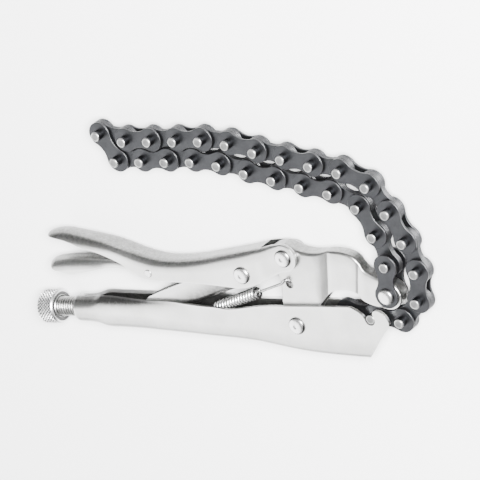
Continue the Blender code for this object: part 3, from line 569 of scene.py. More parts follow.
def plate_outline(pitch, lobe, waist_half, steps=26):
    """Outline of a chain plate from its first pin: round lobes joined by waist arcs that touch them."""
    reach = pitch / 2
    rise = (reach**2 + waist_half**2 - lobe**2) / (2 * (lobe - waist_half))
    centre = waist_half + rise
    meet = math.atan2(centre, reach)
    lobe_turn = np.linspace(meet, math.tau - meet, steps, endpoint=False)
    first = lobe * np.stack([np.cos(lobe_turn), np.sin(lobe_turn)], -1)
    swing = math.pi / 2 - meet
    waist_turn = np.linspace(-swing, swing, steps // 2, endpoint=False)
    low = np.stack([reach + rise * np.sin(waist_turn), -centre + rise * np.cos(waist_turn)], -1)
    lower = np.concatenate([first, low])
    return np.concatenate([lower, (pitch, 0) - lower])


def plate(outline, pitch, low, high):
    """A chain plate and its worn edges: the outline drawn in to the line between the pins on both faces."""
    inward = np.stack([np.clip(outline[:, 0], 0, pitch), np.zeros(len(outline))], -1)
    toward = (inward - outline) / np.linalg.norm(outline - inward, axis=1)[:, None]
    edge = ((None, 0), (0.45, 0), (PLATE_SOFT, 0), (PLATE_SOFT * 0.3, PLATE_SOFT * 0.3), (0, PLATE_SOFT))
    rings = [(inset, low + rise) for inset, rise in edge]
    rings += [(inset, high - rise) for inset, rise in reversed(edge)]
    rows = []
    for inset, height in rings:
        flat = inward if inset is None else outline + toward * inset
        rows.append(np.concatenate([flat, np.full((len(flat), 1), height)], axis=1))
    verts = np.stack(rows, axis=1)
    wear_and_painted_light = np.zeros(verts.shape[:2])
    wear_and_painted_light[:, [3, 6]] = 1.0
    return verts, wear_and_painted_light


def direction(run, rise):
    """The unit directions along a line in the side view and square to it, as rows."""
    turn = math.atan2(rise, run)
    return np.array([[math.cos(turn), math.sin(turn)], [-math.sin(turn), math.cos(turn)]])


def placed_link(verts, start, end):
    """Turns and moves points of a link from its own line to the line between two pins of the chain."""
    flat = verts[..., :2] @ direction(*(end - start)) + start
    return np.concatenate([flat, verts[..., 2:]], axis=-1)


def chain_pins():
    """Centres of all the chain's pins in mm, the last one a pitch past the last joint."""
    places = [np.array(JOINTS["chain_%02d" % (i + 1)]["pos_m"][:2]) / MM for i in range(LINK_COUNT)]
    low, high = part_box("link_%02d" % LINK_COUNT)
    centre = np.array([(low.x + high.x) / 2, (low.y + high.y) / 2]) / MM
    places.append(2 * centre - places[-1])
    return places


# Meshes and pieces

def signed_volume(verts, faces):
    """Volume inside the faces, positive where they point outwards."""
    a, b, c, d = (verts[faces[:, i]] for i in range(4))
    return float((np.einsum("ij,ij->i", a, np.cross(b, c)) + np.einsum("ij,ij->i", a, np.cross(c, d))).sum())


def joined(grids):
    """Several grids, each with its marks of wear and painted light, as one set of vertices, faces and marks.
    """
    verts, faces, wear_and_painted_light, count = [], [], [], 0
    for grid, marks in grids:
        verts.append(grid.reshape(-1, 3))
        faces.append(ring_faces(*grid.shape[:2]) + count)
        wear_and_painted_light.append(np.ravel(marks))
        count += len(verts[-1])
    return np.concatenate(verts), np.concatenate(faces), np.concatenate(wear_and_painted_light)


def make_piece(name, verts, faces, finish, body, wear_and_painted_light=0.0, painted_shade=None, weld=True, sharp=40.0, bevel=0.0):
    """Object from vertices in mm about the middle plane and quads, with a finish.

    Without faces, the vertices are a grid that closes round its first index. The piece rides on a body of
    the frame if one is named. The marks of wear and painted light, and the painted shade, become attributes
    that the finish reads.
    """
    if faces is None:
        faces = ring_faces(*verts.shape[:2])
    verts = verts.reshape(-1, 3)
    if signed_volume(verts - verts.mean(0), faces) < 0:
        faces = faces[:, ::-1]
    mesh = bpy.data.meshes.new(name)
    mesh.from_pydata(verts * MM + (0, 0, REST_HEIGHT), [], faces.tolist())
    values = {"wear_and_painted_light_marks": wear_and_painted_light} if painted_shade is None else {"wear_and_painted_light_marks": wear_and_painted_light, "painted_shade": painted_shade}
    for attribute, value in values.items():
        value = np.broadcast_to(np.ravel(value), len(verts))
        mesh.attributes.new(attribute, "FLOAT", "POINT").data.foreach_set("value", value.astype(float))
    if weld:
        work = bmesh.new()
        work.from_mesh(mesh)
        bmesh.ops.remove_doubles(work, verts=work.verts, dist=1e-7)
        bmesh.ops.dissolve_degenerate(work, edges=work.edges, dist=1e-8)
        work.to_mesh(mesh)
        work.free()
    mesh.materials.append(finish_named(finish))
    mesh.shade_smooth()
    mesh.set_sharp_from_angle(angle=math.radians(sharp))
    piece = placed(mesh)
    if bevel:
        soften(piece, bevel)
    if body:
        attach(piece, body)
    return piece


def sheet_piece(name, sheet, body, stain_and_shade=0.0, bevel=0.0):
    """Piece of pressed sheet. An extra stain and painted shade darkens it beyond the painted shade of its
    web, bends and inside.
    """
    verts, faces, wear_and_painted_light, painted_shade = sheet
    painted_shade = np.maximum(painted_shade, stain_and_shade)
    return make_piece(name, verts, faces, "satin nickel sheet", body, wear_and_painted_light, painted_shade, weld=False, bevel=bevel)


def placed(data):
    """Object of a mesh, light or camera, in the scene and named like it."""
    made = bpy.data.objects.new(data.name, data)
    bpy.context.scene.collection.objects.link(made)
    return made


def soften(piece, width):
    """Rounds the piece's sharp edges by width, in metres."""
    soft = piece.modifiers.new("soft edges", "BEVEL")
    soft.width = width
    soft.segments = 2
    soft.limit_method = "ANGLE"
    soft.angle_limit = math.radians(50)
    soft.use_clamp_overlap = True
    soft.harden_normals = True


def cut(piece, outline, low, high, slant=(0.0, 0.0)):
    """Cuts a prism out of a piece: an outline in the side view, from low to high across, in mm.

    The slant moves the outline by that much for every mm below high, so the prism leans.
    """
    following = np.roll(outline, -1, axis=0)
    if np.sum(outline[:, 0] * following[:, 1] - following[:, 0] * outline[:, 1]) < 0:
        outline = outline[::-1]
    count = len(outline)
    below = outline + np.array(slant) * (low - high)
    rings = [np.concatenate([flat, np.full((count, 1), level)], axis=1)
             for flat, level in ((below, low), (outline, high))]
    ring = np.arange(count)
    ahead = (ring + 1) % count
    faces = np.stack([ring, ahead, ahead + count, ring + count], -1).tolist()
    faces += [ring[::-1].tolist(), (ring + count).tolist()]
    mesh = bpy.data.meshes.new("cutter")
    mesh.from_pydata(np.concatenate(rings) * MM + (0, 0, REST_HEIGHT), [], faces)
    cutter = placed(mesh)
    step = piece.modifiers.new("cut", "BOOLEAN")
    step.solver = "EXACT"
    step.operation = "DIFFERENCE"
    step.object = cutter
    before = piece.data
    made = bpy.data.meshes.new_from_object(piece.evaluated_get(bpy.context.evaluated_depsgraph_get()))
    piece.modifiers.remove(step)
    piece.data = made
    made.name = before.name
    bpy.data.meshes.remove(before)
    bpy.data.objects.remove(cutter)
    bpy.data.meshes.remove(mesh)
    made.shade_smooth()
    made.set_sharp_from_angle(angle=math.radians(40))


# Finishes

def node(tree, kind, output, inputs, **settings):
    """Socket of a new node. Each of its inputs takes a plain value or is joined to another socket."""
    made = tree.nodes.new("ShaderNode" + kind)
    for name, value in settings.items():
        setattr(made, name, value)
    for key, value in inputs.items():
        if isinstance(value, bpy.types.NodeSocket):
            tree.links.new(value, made.inputs[key])
        else:
            made.inputs[key].default_value = value
    return made.outputs[output]


def noise(tree, vector, scale, detail, roughness=0.5):
    """Noise of that scale, read at the vector socket."""
    inputs = {"Vector": vector, "Scale": scale, "Detail": detail, "Roughness": roughness}
    return node(tree, "TexNoise", "Fac", inputs)


def ranged(tree, value, low, high, to_low, to_high):
    """A value moved from one range to another."""
    inputs = {"Value": value, "From Min": low, "From Max": high, "To Min": to_low, "To Max": to_high}
    return node(tree, "MapRange", "Result", inputs)


def painted(tree, colour, second, share, attribute=None):
    """The second colour laid over the first by share, times the piece's attribute if one is named."""
    if attribute:
        marks = node(tree, "Attribute", "Fac", {}, attribute_name=attribute)
        share = node(tree, "Math", "Value", {0: marks, 1: share}, operation="MULTIPLY")
    inputs = {"Factor": share, "A": colour, "B": second}
    return node(tree, "Mix", "Result", inputs, data_type="RGBA")


def steel_finish(name, light, dark, rough, patch, grain, wave, pits, wear_and_painted_light, wear_and_painted_light_share):
    """Metal with patches of a second tone, a fine grain in gloss and relief, and marks of wear and of
    painted light.

    Colour: noise of scale patch mixes light and dark. Gloss: a finer noise moves roughness a little.
    Relief: slow waves of the sheet plus fine grain. Each piece's attribute of marks brings in the mark
    colour: real wear on the edges of sheets and chain plates, painted shade on the other pieces and painted
    highlight on the spring's coils. On sheets the painted shade attribute brings in the mottled painted
    shade colour.
    """
    colours = bpy.context.scene.clamp_colours
    light, dark, wear_and_painted_light, painted_shade = ((*getattr(colours, part), 1) for part in (light, dark, wear_and_painted_light, "sheet_shade_and_mottle"))
    material = bpy.data.materials.new(name)
    material.use_nodes = True
    tree = material.node_tree
    place = node(tree, "TexCoord", "Object", {})
    stretch = TURNED_GRAIN if name == "turned steel" else EVEN_GRAIN
    fine = noise(tree, node(tree, "Mapping", "Vector", {"Vector": place, "Scale": stretch}), grain, 3)
    patches = noise(tree, place, patch, 6, 0.62)
    colour = painted(tree, light, dark, ranged(tree, patches, 0.35, 0.75, 0.0, 0.5))
    if name == "satin nickel sheet":
        # On sheets, a mottled painted shade colour where the sheet is marked for painted shade: web, bends
        # and inside
        mottle = noise(tree, place, 650.0, 5, 0.75)
        colour = painted(tree, colour, painted_shade, ranged(tree, mottle, 0.35, 0.65, 0.75, 1.0), "painted_shade")
    # Marks of wear and of painted light, uneven by the patches
    wear_and_painted_light_strength = ranged(tree, patches, 0.3, 0.6, wear_and_painted_light_share * 0.45, wear_and_painted_light_share)
    colour = painted(tree, colour, wear_and_painted_light, wear_and_painted_light_strength, "wear_and_painted_light_marks")
    gloss = ranged(tree, fine, 0.3, 0.7, rough * 0.85, rough * 1.2)
    slow = noise(tree, place, patch * 1.4, 2)
    waves = node(tree, "Bump", "Normal", {"Strength": wave, "Distance": 0.002, "Height": slow})
    relief = {"Strength": pits, "Distance": 0.0003, "Height": fine, "Normal": waves}
    shader = tree.nodes["Principled BSDF"]
    shader.inputs["Metallic"].default_value = 1.0
    tree.links.new(colour, shader.inputs["Base Color"])
    tree.links.new(gloss, shader.inputs["Roughness"])
    tree.links.new(node(tree, "Bump", "Normal", relief), shader.inputs["Normal"])
    return material


def finish_named(name):
    """The clamp's finish of that name, made on first use."""
    return bpy.data.materials.get(name) or steel_finish(name, *FINISHES[name])


# Properties

def length_property(name, description, default, low):
    """A length that a user would change."""
    return FloatProperty(name=name, description=description, default=default, min=low, unit="LENGTH")


def colour_property(name, description, default):
    """A colour that a user would change."""
    return FloatVectorProperty(name=name, description=description, default=default, subtype="COLOR",
                               min=0.0, max=1.0)


class ClampSizes(bpy.types.PropertyGroup):
    """Sizes of the finished clamp."""

    sheet_wall: length_property("Sheet thickness", "Sheet of the handles and the jaw", 0.0018, 0.0005)
    thin_wall: length_property("Thin sheet thickness", "Sheet of the toggle link and the release lever",
                               0.0015, 0.0005)
    handle_half_width: length_property("Handle half width", "Half the width of both handles", 0.007, 0.004)
    toggle_half_width: length_property("Toggle half width", "Half the toggle link's width", 0.0043, 0.002)
    edge_round: length_property("Edge rounding", "Rounding on the cut edges of the sheets", 0.0003, 0.0)
    rivet_radius: length_property("Rivet head radius", "Heads of the three pivot rivets", 0.0045, 0.002)
    knob_radius: length_property("Knob radius", "Radius of the knurled disc over its teeth", 0.009, 0.005)
    knob_teeth: IntProperty(name="Knurl teeth", description="Teeth round the disc", default=32, min=12)
    thread_pitch: length_property("Thread pitch", "Rise of the screw's thread in one turn", 0.0016, 0.001)
    chain_pitch: length_property("Chain pitch", "Distance between the pins of the chain", 0.015875, 0.01)
    chain_lobe: length_property("Chain lobe radius", "Round ends of the chain plates", 0.0063, 0.004)
    spring_wire: length_property("Spring wire radius", "Wire of the pull spring", 0.00068, 0.0002)


class ClampColours(bpy.types.PropertyGroup):
    """Colours of the finished clamp."""

    sheet: colour_property("Sheet", "Nickel plating of the pressed sheets", (0.66, 0.66, 0.65))
    sheet_stain: colour_property("Stain", "Duller patches in the plating", (0.40, 0.40, 0.39))
    # Painted shade on the sheets' webs, bends and insides; the same colour is also the mottle tone of the
    # thread, knurl and spring wire
    sheet_shade_and_mottle: colour_property("Bends", "Painted shade on the webs, bends and insides of the sheets", (0.11, 0.11, 0.107))
    # Painted shade in the grooves of the thread and knurl, between the spring's coils and round the rivets'
    # feet; also the base colour of the thread, knurl and spring wire
    groove_shade: colour_property("Grooves", "Painted shade in the grooves of the thread, knurl and spring", (0.05, 0.05, 0.05))
    rivet: colour_property("Rivets", "Polished rivet heads", (0.80, 0.80, 0.80))
    chain: colour_property("Chain plates", "Dark phosphate on the chain plates", (0.044, 0.045, 0.048))
    chain_dark: colour_property("Chain stains", "Oil-dark patches on the chain", (0.020, 0.0205, 0.022))
    chain_worn: colour_property("Chain edges", "Rubbed edges of the chain plates", (0.11, 0.11, 0.112))
    pin: colour_property("Chain pins", "Ends of the chain's pins", (0.62, 0.62, 0.61))
    floor: colour_property("Floor", "Plain pale floor", (0.90, 0.90, 0.90))


# Operators

class ClampOperator:
    """Shared settings of the operators."""

    bl_options = {"REGISTER", "UNDO"}

    def execute(self, context):
        """Builds the piece."""
        self.build(context.scene.clamp_sizes)
        return {"FINISHED"}


class CLAMP_OT_fixed_handle(ClampOperator, bpy.types.Operator):
    """Fixed handle: channel rolled round the screw at the rear, hook notch at the front"""

    bl_idname = "clamp.fixed_handle"
    bl_label = "Fixed handle"

    def build(self, sizes):
        line = smooth_rows(HANDLE_ROWS, 1.1)
        web = line[:, [0, 1]]
        half = np.full(len(line), sizes.handle_half_width / MM)
        curl = np.where(line[:, 0] < CURL_END, line[:, 5] - line[:, 1], NO_CURL)
        sheet = pressed_sheet((web, web), (line[:, [0, 2]], line[:, [0, 3]]), half, line[:, 4],
                              sizes.sheet_wall / MM, curl=curl)
        # Stain and painted shade on the near side of the neck, stronger towards the rear and towards the
        # rolled edge: a real stain there, darkened further as painted shade on the roll that faces up
        x, y, z = sheet[0].T
        stain_and_shade = 1.2 * np.clip((y - 4.0) / 7, 0, 1) ** 2 * np.clip((-58 - x) / 40, 0, 1) * (z > 0)
        piece = sheet_piece("fixed_handle_sheet", sheet, "handle_body", stain_and_shade)
        pin = chain_pins()[LINK_COUNT - 1]
        slope = smooth_rows(NOTCH_SLOPE, 0.4)
        pocket = np.linspace(math.pi, math.tau, 20)[1:-1]
        notch = CLEAR_RADIUS * np.stack([np.cos(pocket), np.sin(pocket)], -1)
        tooth = smooth_rows(TOOTH, 0.4)
        cut(piece, np.concatenate([slope, notch, tooth, NOTCH_OUTSIDE]) + pin, -PAST_SHEET, PAST_SHEET)
        chin = smooth_rows(CHIN, 0.6)
        cut(piece, np.concatenate([chin, CHIN_OUTSIDE]) + pin, -PAST_SHEET, CHIN_TOP, CHIN_SLANT)
        soften(piece, sizes.edge_round)
        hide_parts("fixed_handle")


class CLAMP_OT_jaw(ClampOperator, bpy.types.Operator):
    """Jaw: narrow channel with a drawn-in middle and a round nose"""

    bl_idname = "clamp.jaw"
    bl_label = "Jaw"

    def build(self, sizes):
        line = smooth_rows(JAW_ROWS, 0.8)
        web = line[:, 0:2]
        edge = line[:, 2:4]
        half = line[:, 4]
        sheet = pressed_sheet((web, web), (edge, edge), half, half * JAW_BEND, sizes.sheet_wall / MM)
        piece = sheet_piece("jaw_sheet", sheet, "jaw_body")
        turn = circle(32)
        hole = np.array(SPRING_HOLE) + SPRING_HOLE_RADIUS * np.stack([np.cos(turn), np.sin(turn)], -1)
        cut(piece, hole, 1.0, 7.0)
        soften(piece, sizes.edge_round)
        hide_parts("jaw")


class CLAMP_OT_lever_handle(ClampOperator, bpy.types.Operator):
    """Lever handle: channel with a flattened tail and two ears round the jaw"""

    bl_idname = "clamp.lever_handle"
    bl_label = "Lever handle"

    def build(self, sizes):
        near = np.array(LEVER_ROWS)
        far = near[:, 0:4].copy()
        far[-len(FAR_EAR_ROWS):] = FAR_EAR_ROWS
        line = smooth_rows(np.concatenate([near, far], axis=1), 1.1)
        web = (line[:, 0:2], line[:, 6:8])
        edge = (line[:, 2:4], line[:, 8:10])
        sheet = pressed_sheet(web, edge, line[:, 4], line[:, 5], sizes.sheet_wall / MM,
                              slot_after=SLOT_START)
        piece = sheet_piece("lever_handle_sheet", sheet, "lever_body", bevel=sizes.edge_round)
        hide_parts("lever_handle")


class CLAMP_OT_toggle_link(ClampOperator, bpy.types.Operator):
    """Toggle link: small channel from the lever to the screw's end"""

    bl_idname = "clamp.toggle_link"
    bl_label = "Toggle link"

    def build(self, sizes):
        line = smooth_rows(TOGGLE_ROWS, 0.8)
        spin = direction(*TOGGLE_RUN)
        pivot = np.array(JOINTS["toggle_turn"]["pos_m"][:2]) / MM
        web = line[:, 0:2] @ spin + pivot
        edge = line[:, 2:4] @ spin + pivot
        half = np.full(len(line), sizes.toggle_half_width / MM)
        sheet = pressed_sheet((web, web), (edge, edge), half, half * TOGGLE_BEND, sizes.thin_wall / MM)
        # Painted shade in the link's own directions: none at the rear end and the open edge, full over the
        # web and its bend
        x, y = ((sheet[0][:, :2] - pivot) @ spin.T).T
        stain_and_shade = np.clip((5.5 - y) / 6.5, 0, 1) * np.clip((x + 66) / 24, 0, 1)
        piece = sheet_piece("toggle_link_sheet", sheet, "toggle_body", stain_and_shade, sizes.edge_round)
        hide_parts("toggle_link")


class CLAMP_OT_release_lever(ClampOperator, bpy.types.Operator):
    """Release lever: thumb blade with a flared end, and its pin"""

    bl_idname = "clamp.release_lever"
    bl_label = "Release lever"

    def build(self, sizes):
        line = smooth_rows(RELEASE_ROWS, 0.7)
        web = line[:, 0:2]
        edge = line[:, 2:4]
        sheet = pressed_sheet((web, web), (edge, edge), line[:, 4], line[:, 5], sizes.thin_wall / MM)
        piece = sheet_piece("release_lever_sheet", sheet, "blade_body", bevel=sizes.edge_round * 0.8)
        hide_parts("release_lever")
        x, y = np.array(JOINTS["release_press"]["pos_m"][:2]) / MM
        radius, rise, corner = RELEASE_PIN
        half = sizes.handle_half_width / MM + rise
        profile = rounded([(0, half), (radius, half), (radius, -half), (0, -half)], corner)
        verts = turned_surface(profile, 36)
        # The pin is darker towards its rim, from 1.5 mm out
        rim = np.clip(np.hypot(verts[..., 0], verts[..., 1]) - 1.5, 0, 0.7)
        pin = make_piece("release_pin_turned", verts + (x, y, 0), None, "polished rivet", "lever_body", rim)
        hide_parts("release_pin")


class CLAMP_OT_rivets(ClampOperator, bpy.types.Operator):
    """Rivets: three domed pivot rivets and the rivet in the jaw's nose"""

    bl_idname = "clamp.rivets"
    bl_label = "Rivets"

    def build(self, sizes):
        half = sizes.handle_half_width / MM
        under = half + HEAD_GAP
        head = rivet_head(sizes.rivet_radius / MM, under, half + HEAD_RISE, SHANK_RADIUS, DIMPLE)
        radius, rise = SMALL_HEAD
        small = rivet_head(radius, under, half + rise, SHANK_RADIUS, DIMPLE)
        for name, (place, body) in PIVOTS.items():
            far = small if name == "lever_pivot_rivet" else head
            self.rivet(name, place, body, two_ended(head, far))
        nose = rivet_head(*NOSE_HEAD, PIN_RADIUS, 0.0)
        self.rivet("nose_rivet", JOINTS["chain_01"]["pos_m"], "link_01_body", two_ended(nose, nose))

    def rivet(self, name, place, body, profile):
        """One rivet at a pivot. The foot ring of both heads is marked, which paints it dark as painted
        shade: an outline round the foot of each head.
        """
        verts = turned_surface(profile, 56)
        foot = np.zeros(verts.shape[:2])
        first, last = DOME_POINTS - 2, DOME_POINTS + 2
        foot[:, first:last] = 1.0
        foot[:, -last:-first] = 1.0
        centre = (place[0] / MM, place[1] / MM, 0)
        piece = make_piece(name + "_turned", verts + centre, None, "polished rivet", body, foot)
        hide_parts(name)


class CLAMP_OT_adjusting_screw(ClampOperator, bpy.types.Operator):
    """Adjusting screw: real helical thread, smooth inner end with a round tip"""

    bl_idname = "clamp.adjusting_screw"
    bl_label = "Adjusting screw"

    def build(self, sizes):
        low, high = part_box("adjusting_screw")
        rear = low.x / MM
        tip = high.x / MM - TIP_GAP
        pitch = sizes.thread_pitch / MM
        start = rear + THREAD_LENGTH
        at = np.concatenate([np.linspace(rear, start + 0.5, int((start - rear) / pitch * 12)),
                             np.linspace(start + 1.0, tip - SHANK_END, 6)])
        turn = circle(48)[:, None]
        # The ridge is a flattened triangle wave that climbs a pitch in a turn and fades out at both ends
        cycle = (at / pitch - turn / math.tau) % 1.0
        ridge = np.clip(1.5 * (1 - np.abs(2 * cycle - 1)) - 0.2, 0, 1)
        fade = np.clip((start - at) / pitch, 0, 1) * np.clip((at - rear) / 0.6, 0.35, 1)
        radius = np.where(at > start, SHANK_END, THREAD_CREST - THREAD_DEPTH + THREAD_DEPTH * ridge * fade)
        # Painted shade: the thread's roots keep the near-black groove colour, its crests and the smooth end
        # take the lighter mark colour
        wear_and_painted_light = np.where(at > start, 0.9, np.clip(1.4 * ridge - 0.2, 0, 1))
        dome = np.linspace(0, math.pi / 2, 8)
        radius = with_ends([0.0], radius, SHANK_END * np.cos(dome))
        wear_and_painted_light = with_ends([0.5], wear_and_painted_light, np.full(8, 0.9))
        along = np.concatenate([[rear], at, tip - SHANK_END + SHANK_END * np.sin(dome)])
        verts = shaft_surface(along, radius, turn, (low.y + high.y) / 2 / MM)
        piece = make_piece("adjusting_screw_thread", verts, None, "turned steel", "screw_body", wear_and_painted_light,
                           sharp=55)
        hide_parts("adjusting_screw")


class CLAMP_OT_adjusting_knob(ClampOperator, bpy.types.Operator):
    """Adjusting knob: thin disc with a diamond knurl and a hub round the thread"""

    bl_idname = "clamp.adjusting_knob"
    bl_label = "Adjusting knob"

    def build(self, sizes):
        low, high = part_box("adjusting_knob")
        rear = low.x / MM - KNOB_REAR
        hub = high.x / MM + KNOB_HUB
        front = hub - KNOB_STEP
        teeth = sizes.knob_teeth
        turn = circle(teeth * 10)[:, None]
        at = np.linspace(rear + 0.45, front - 0.1, 41)
        # Two sets of helical grooves, one each way, leave diamonds between them
        one = np.abs(((turn * teeth / math.tau + at / KNURL_LEAD) % 1.0) * 2 - 1)
        two = np.abs(((turn * teeth / math.tau - at / KNURL_LEAD) % 1.0) * 2 - 1)
        groove_shade = 1 - np.clip(np.minimum(one, two) * 2.0, 0, 1)
        rim = sizes.knob_radius / MM - KNURL_DEPTH * groove_shade
        # Rear face and front face from their own middles: radius, place along and how light: the chamfers
        # light, the sunken ring and the bore near black as painted shade
        back = np.array([(0.0, rear, 0.5), (5.5, rear, 0.5), (7.9, rear, 0.5), (8.25, rear + 0.12, 0.5),
                         (8.45, rear + 0.3, 0.5)])
        face = np.array([
            (8.75, front, 0.7), (8.6, front + 0.25, 0.7), (8.0, hub - 0.1, 0.7), (7.7, hub, 0.7),
            (7.6, hub - 0.1, 0.2), (7.5, hub - 0.25, 0.1), (6.1, hub - 0.25, 0.1), (6.0, hub - 0.1, 0.6),
            (5.9, hub, 0.9), (5.6, hub - 0.05, 0.7), (5.5, hub - 0.4, 0.0), (5.35, hub - 1.1, 0.0),
            (5.35, rear + 2.4, 0.0), (0.0, rear + 2.4, 0.0),
        ])
        radius = with_ends(back[:, 0], rim, face[:, 0])
        # Knurl crests light, its grooves near black as painted shade
        wear_and_painted_light = with_ends(back[:, 2], np.clip(1.5 - 2.6 * groove_shade, 0, 1), face[:, 2])
        along = np.concatenate([back[:, 1], at, face[:, 1]])
        verts = shaft_surface(along, radius, turn, (low.y + high.y) / 2 / MM)
        piece = make_piece("adjusting_knob_knurl", verts, None, "knurled steel", "knob_body", wear_and_painted_light, sharp=30)
        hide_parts("adjusting_knob")


class CLAMP_OT_chain(ClampOperator, bpy.types.Operator):
    """Chain: thirty links, outer plates with pins and inner stacks of three plates"""

    bl_idname = "clamp.chain"
    bl_label = "Chain"

    def build(self, sizes):
        pitch = sizes.chain_pitch / MM
        outline = plate_outline(pitch, sizes.chain_lobe / MM, WAIST_HALF)
        places = chain_pins()
        for i in range(LINK_COUNT):
            name = "link_%02d" % (i + 1)
            outer = i % 2 == 0
            levels = (OUTER_PLATES if i else FIRST_PLATES) if outer else INNER_PLATES
            plates = [plate(outline, pitch, low, high) for low, high in levels]
            grids = [(placed_link(verts, places[i], places[i + 1]), wear_and_painted_light) for verts, wear_and_painted_light in plates]
            verts, faces, wear_and_painted_light = joined(grids)
            piece = make_piece(name + "_plates", verts, faces, "phosphated chain plate", name + "_body",
                               wear_and_painted_light, sharp=50)
            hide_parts(name)
            if outer:
                self.pins(name, places[i:i + 2] if i else places[1:2])

    def pins(self, name, spots):
        """Pins of an outer link: a chamfered end with a faint turned hollow on each side."""
        radius, short, marks = np.array(PIN_END).T
        end = np.stack([radius, PIN_HALF - short], -1)
        verts = turned_surface(two_ended(end, end), 32)
        # Marks light the ends, lightest on the chamfer ring; the pin's side keeps the dark chain colour as
        # painted shade
        wear_and_painted_light = np.broadcast_to(np.concatenate([marks, marks[::-1]]), verts.shape[:2])
        verts, faces, wear_and_painted_light = joined([(verts + (*spot, 0), wear_and_painted_light) for spot in spots])
        piece = make_piece(name + "_pins", verts, faces, "chain pin", name + "_body", wear_and_painted_light, sharp=50)


class CLAMP_OT_nose_spacers(ClampOperator, bpy.types.Operator):
    """Nose spacers: two rings that fill the gap beside the second link"""

    bl_idname = "clamp.nose_spacers"
    bl_label = "Nose spacers"

    def build(self, sizes):
        x, y = chain_pins()[1]
        outer, inside, outside, corner = SPACER
        bore = CLEAR_RADIUS
        for side, low, high in (("near", inside, outside), ("far", -outside, -inside)):
            corners = [(bore, low), (outer, low), (outer, high), (bore, high), (bore, low)]
            verts = turned_surface(rounded(corners, corner), 36) + (x, y, 0)
            name = "nose_spacer_" + side
            piece = make_piece(name + "_ring", verts, None, "chain pin", "link_01_body")
            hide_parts(name)


class CLAMP_OT_spring(ClampOperator, bpy.types.Operator):
    """Pull spring: close coils, a long straight leg and a hook in the jaw's wall"""

    bl_idname = "clamp.spring"
    bl_label = "Spring"

    def build(self, sizes):
        tail = np.array(SPRING_TAIL)
        hook = smooth_rows(SPRING_HOOK, 0.35)
        along = (hook[0] - tail) / np.linalg.norm(hook[0] - tail)
        side = np.cross(along, (0, 0, 1))
        side /= np.linalg.norm(side)
        up = np.cross(side, along)
        start = tail + along * COIL_START
        share = np.linspace(0, 1, COILS * 24 + 1)[:, None]
        # The coils open from nothing to their full radius over the first turn, and close over the last
        ramp = np.clip(np.minimum(share, 1 - share) * COILS, 0, 1)
        turn = math.tau * COILS * share
        ring = (side * np.cos(turn) + up * np.sin(turn)) * COIL_RADIUS * ramp
        coil = start + along * (COILS * COIL_PITCH * share) + ring
        lead = tail + (start - tail) * np.linspace(0, 0.9, 5)[:, None]
        leg = coil[-1] + (hook[0] - coil[-1]) * np.linspace(0.06, 0.96, 12)[:, None]
        verts = tube_surface(np.concatenate([lead, coil, leg, hook]), sizes.spring_wire / MM)
        reach = verts - start
        on_axis = reach @ along
        off_axis = np.linalg.norm(reach - on_axis[..., None] * along, axis=-1)
        # Painted highlight on the outer crests of the coils; the rest of the wire keeps the near-black
        # groove colour as painted shade, and the last coils, leg and hook are mid-light
        crests = np.clip((off_axis - COIL_RADIUS + 0.25) / 0.6, 0, 1)
        crests = np.where(on_axis > (COILS - 0.4) * COIL_PITCH, 0.4, crests)
        piece = make_piece("tension_spring_wire", verts, None, "spring wire", None, crests, sharp=60)
        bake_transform(piece)
        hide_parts("tension_spring")


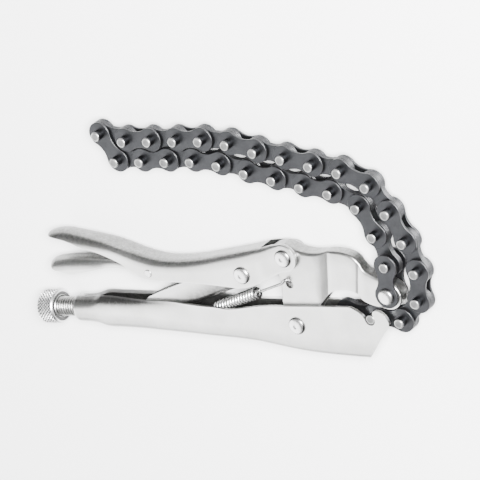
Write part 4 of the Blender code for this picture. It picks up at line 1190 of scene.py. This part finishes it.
class CLAMP_OT_stage(ClampOperator, bpy.types.Operator):
    """Stage: pale floor, soft lights and the camera"""

    bl_idname = "clamp.stage"
    bl_label = "Stage"

    def build(self, sizes):
        self.floor()
        self.world()
        self.lights()
        self.camera()

    def floor(self):
        """Plain pale floor, a hair under the clamp."""
        mesh = bpy.data.meshes.new("floor")
        reach = 6.0
        corners = [(-reach, -reach, 0), (reach, -reach, 0), (reach, reach, 0), (-reach, reach, 0)]
        mesh.from_pydata(corners, [], [(0, 1, 2, 3)])
        floor = placed(mesh)
        floor.location = (0, 0, -0.0002)
        material = bpy.data.materials.new("pale floor")
        material.use_nodes = True
        shader = material.node_tree.nodes["Principled BSDF"]
        shader.inputs["Roughness"].default_value = 0.9
        shader.inputs["Specular IOR Level"].default_value = 0.1
        shader.inputs["Base Color"].default_value = (*bpy.context.scene.clamp_colours.floor, 1)
        mesh.materials.append(material)

    def world(self):
        """Dim surroundings, a little brighter above than below."""
        world = bpy.data.worlds.new("studio")
        bpy.context.scene.world = world
        world.use_nodes = True
        tree = world.node_tree
        height = node(tree, "SeparateXYZ", "Z", {"Vector": node(tree, "TexCoord", "Generated", {})})
        ramp = node(tree, "ValToRGB", "Color", {"Fac": height})
        below, above = ramp.node.color_ramp.elements
        below.color = (0.24, 0.24, 0.245, 1)
        above.color = (0.42, 0.42, 0.42, 1)
        background = tree.nodes["Background"]
        background.inputs["Strength"].default_value = 1.0
        tree.links.new(ramp, background.inputs["Color"])

    def lights(self):
        """A broad panel low on the left, which the flat sides mirror, and a soft lamp over the floor."""
        for name, place, size, power in LIGHTS:
            lamp = bpy.data.lights.new(name, "AREA")
            lamp.shape = "DISK"
            lamp.size = size
            lamp.energy = power
            light = placed(lamp)
            light.location = place
            aim = Vector(LIGHT_AIM) - Vector(place)
            light.rotation_euler = aim.to_track_quat("-Z", "Y").to_euler()

    def camera(self):
        """Long lens from the right, behind and above."""
        lens = bpy.data.cameras.new("camera")
        lens.lens = 225
        lens.clip_start = 0.05
        lens.clip_end = 50
        camera = placed(lens)
        right = Vector(CAMERA_RIGHT).normalized()
        back = Vector(CAMERA_BACK).normalized()
        up = back.cross(right).normalized()
        turn = Matrix((right, up, back)).transposed()
        x, y, z = CAMERA_PLACE
        camera.matrix_world = Matrix.Translation((x, y, z + REST_HEIGHT)) @ turn.to_4x4()
        bpy.context.scene.camera = camera


class CLAMP_PT_panel(bpy.types.Panel):
    """Panel in the sidebar that lists the clamp's pieces, sizes and colours"""

    bl_idname = "CLAMP_PT_panel"
    bl_label = "Chain clamp"
    bl_space_type = "VIEW_3D"
    bl_region_type = "UI"
    bl_category = "Chain clamp"

    def draw(self, context):
        layout = self.layout
        for operator in OPERATORS:
            layout.operator(operator.bl_idname)
        for group in (context.scene.clamp_sizes, context.scene.clamp_colours):
            box = layout.box()
            for name in group.__annotations__:
                box.prop(group, name)


OPERATORS = (
    CLAMP_OT_stage,
    CLAMP_OT_fixed_handle,
    CLAMP_OT_jaw,
    CLAMP_OT_lever_handle,
    CLAMP_OT_toggle_link,
    CLAMP_OT_release_lever,
    CLAMP_OT_rivets,
    CLAMP_OT_adjusting_screw,
    CLAMP_OT_adjusting_knob,
    CLAMP_OT_chain,
    CLAMP_OT_nose_spacers,
    CLAMP_OT_spring,
)


CLASSES = (ClampSizes, ClampColours, *OPERATORS, CLAMP_PT_panel)


def register():
    """Registers the properties, operators and panel."""
    for group in CLASSES:
        bpy.utils.register_class(group)
    bpy.types.Scene.clamp_sizes = PointerProperty(type=ClampSizes)
    bpy.types.Scene.clamp_colours = PointerProperty(type=ClampColours)


def unregister():
    """Removes what register added."""
    del bpy.types.Scene.clamp_colours
    del bpy.types.Scene.clamp_sizes
    for group in reversed(CLASSES):
        bpy.utils.unregister_class(group)


def main():
    """Builds everything in order."""
    register()
    bpy.ops.clamp.stage()
    bpy.ops.clamp.fixed_handle()
    bpy.ops.clamp.jaw()
    bpy.ops.clamp.lever_handle()
    bpy.ops.clamp.toggle_link()
    bpy.ops.clamp.release_lever()
    bpy.ops.clamp.rivets()
    bpy.ops.clamp.adjusting_screw()
    bpy.ops.clamp.adjusting_knob()
    bpy.ops.clamp.chain()
    bpy.ops.clamp.nose_spacers()
    bpy.ops.clamp.spring()


if __name__ == "__main__":
    main()
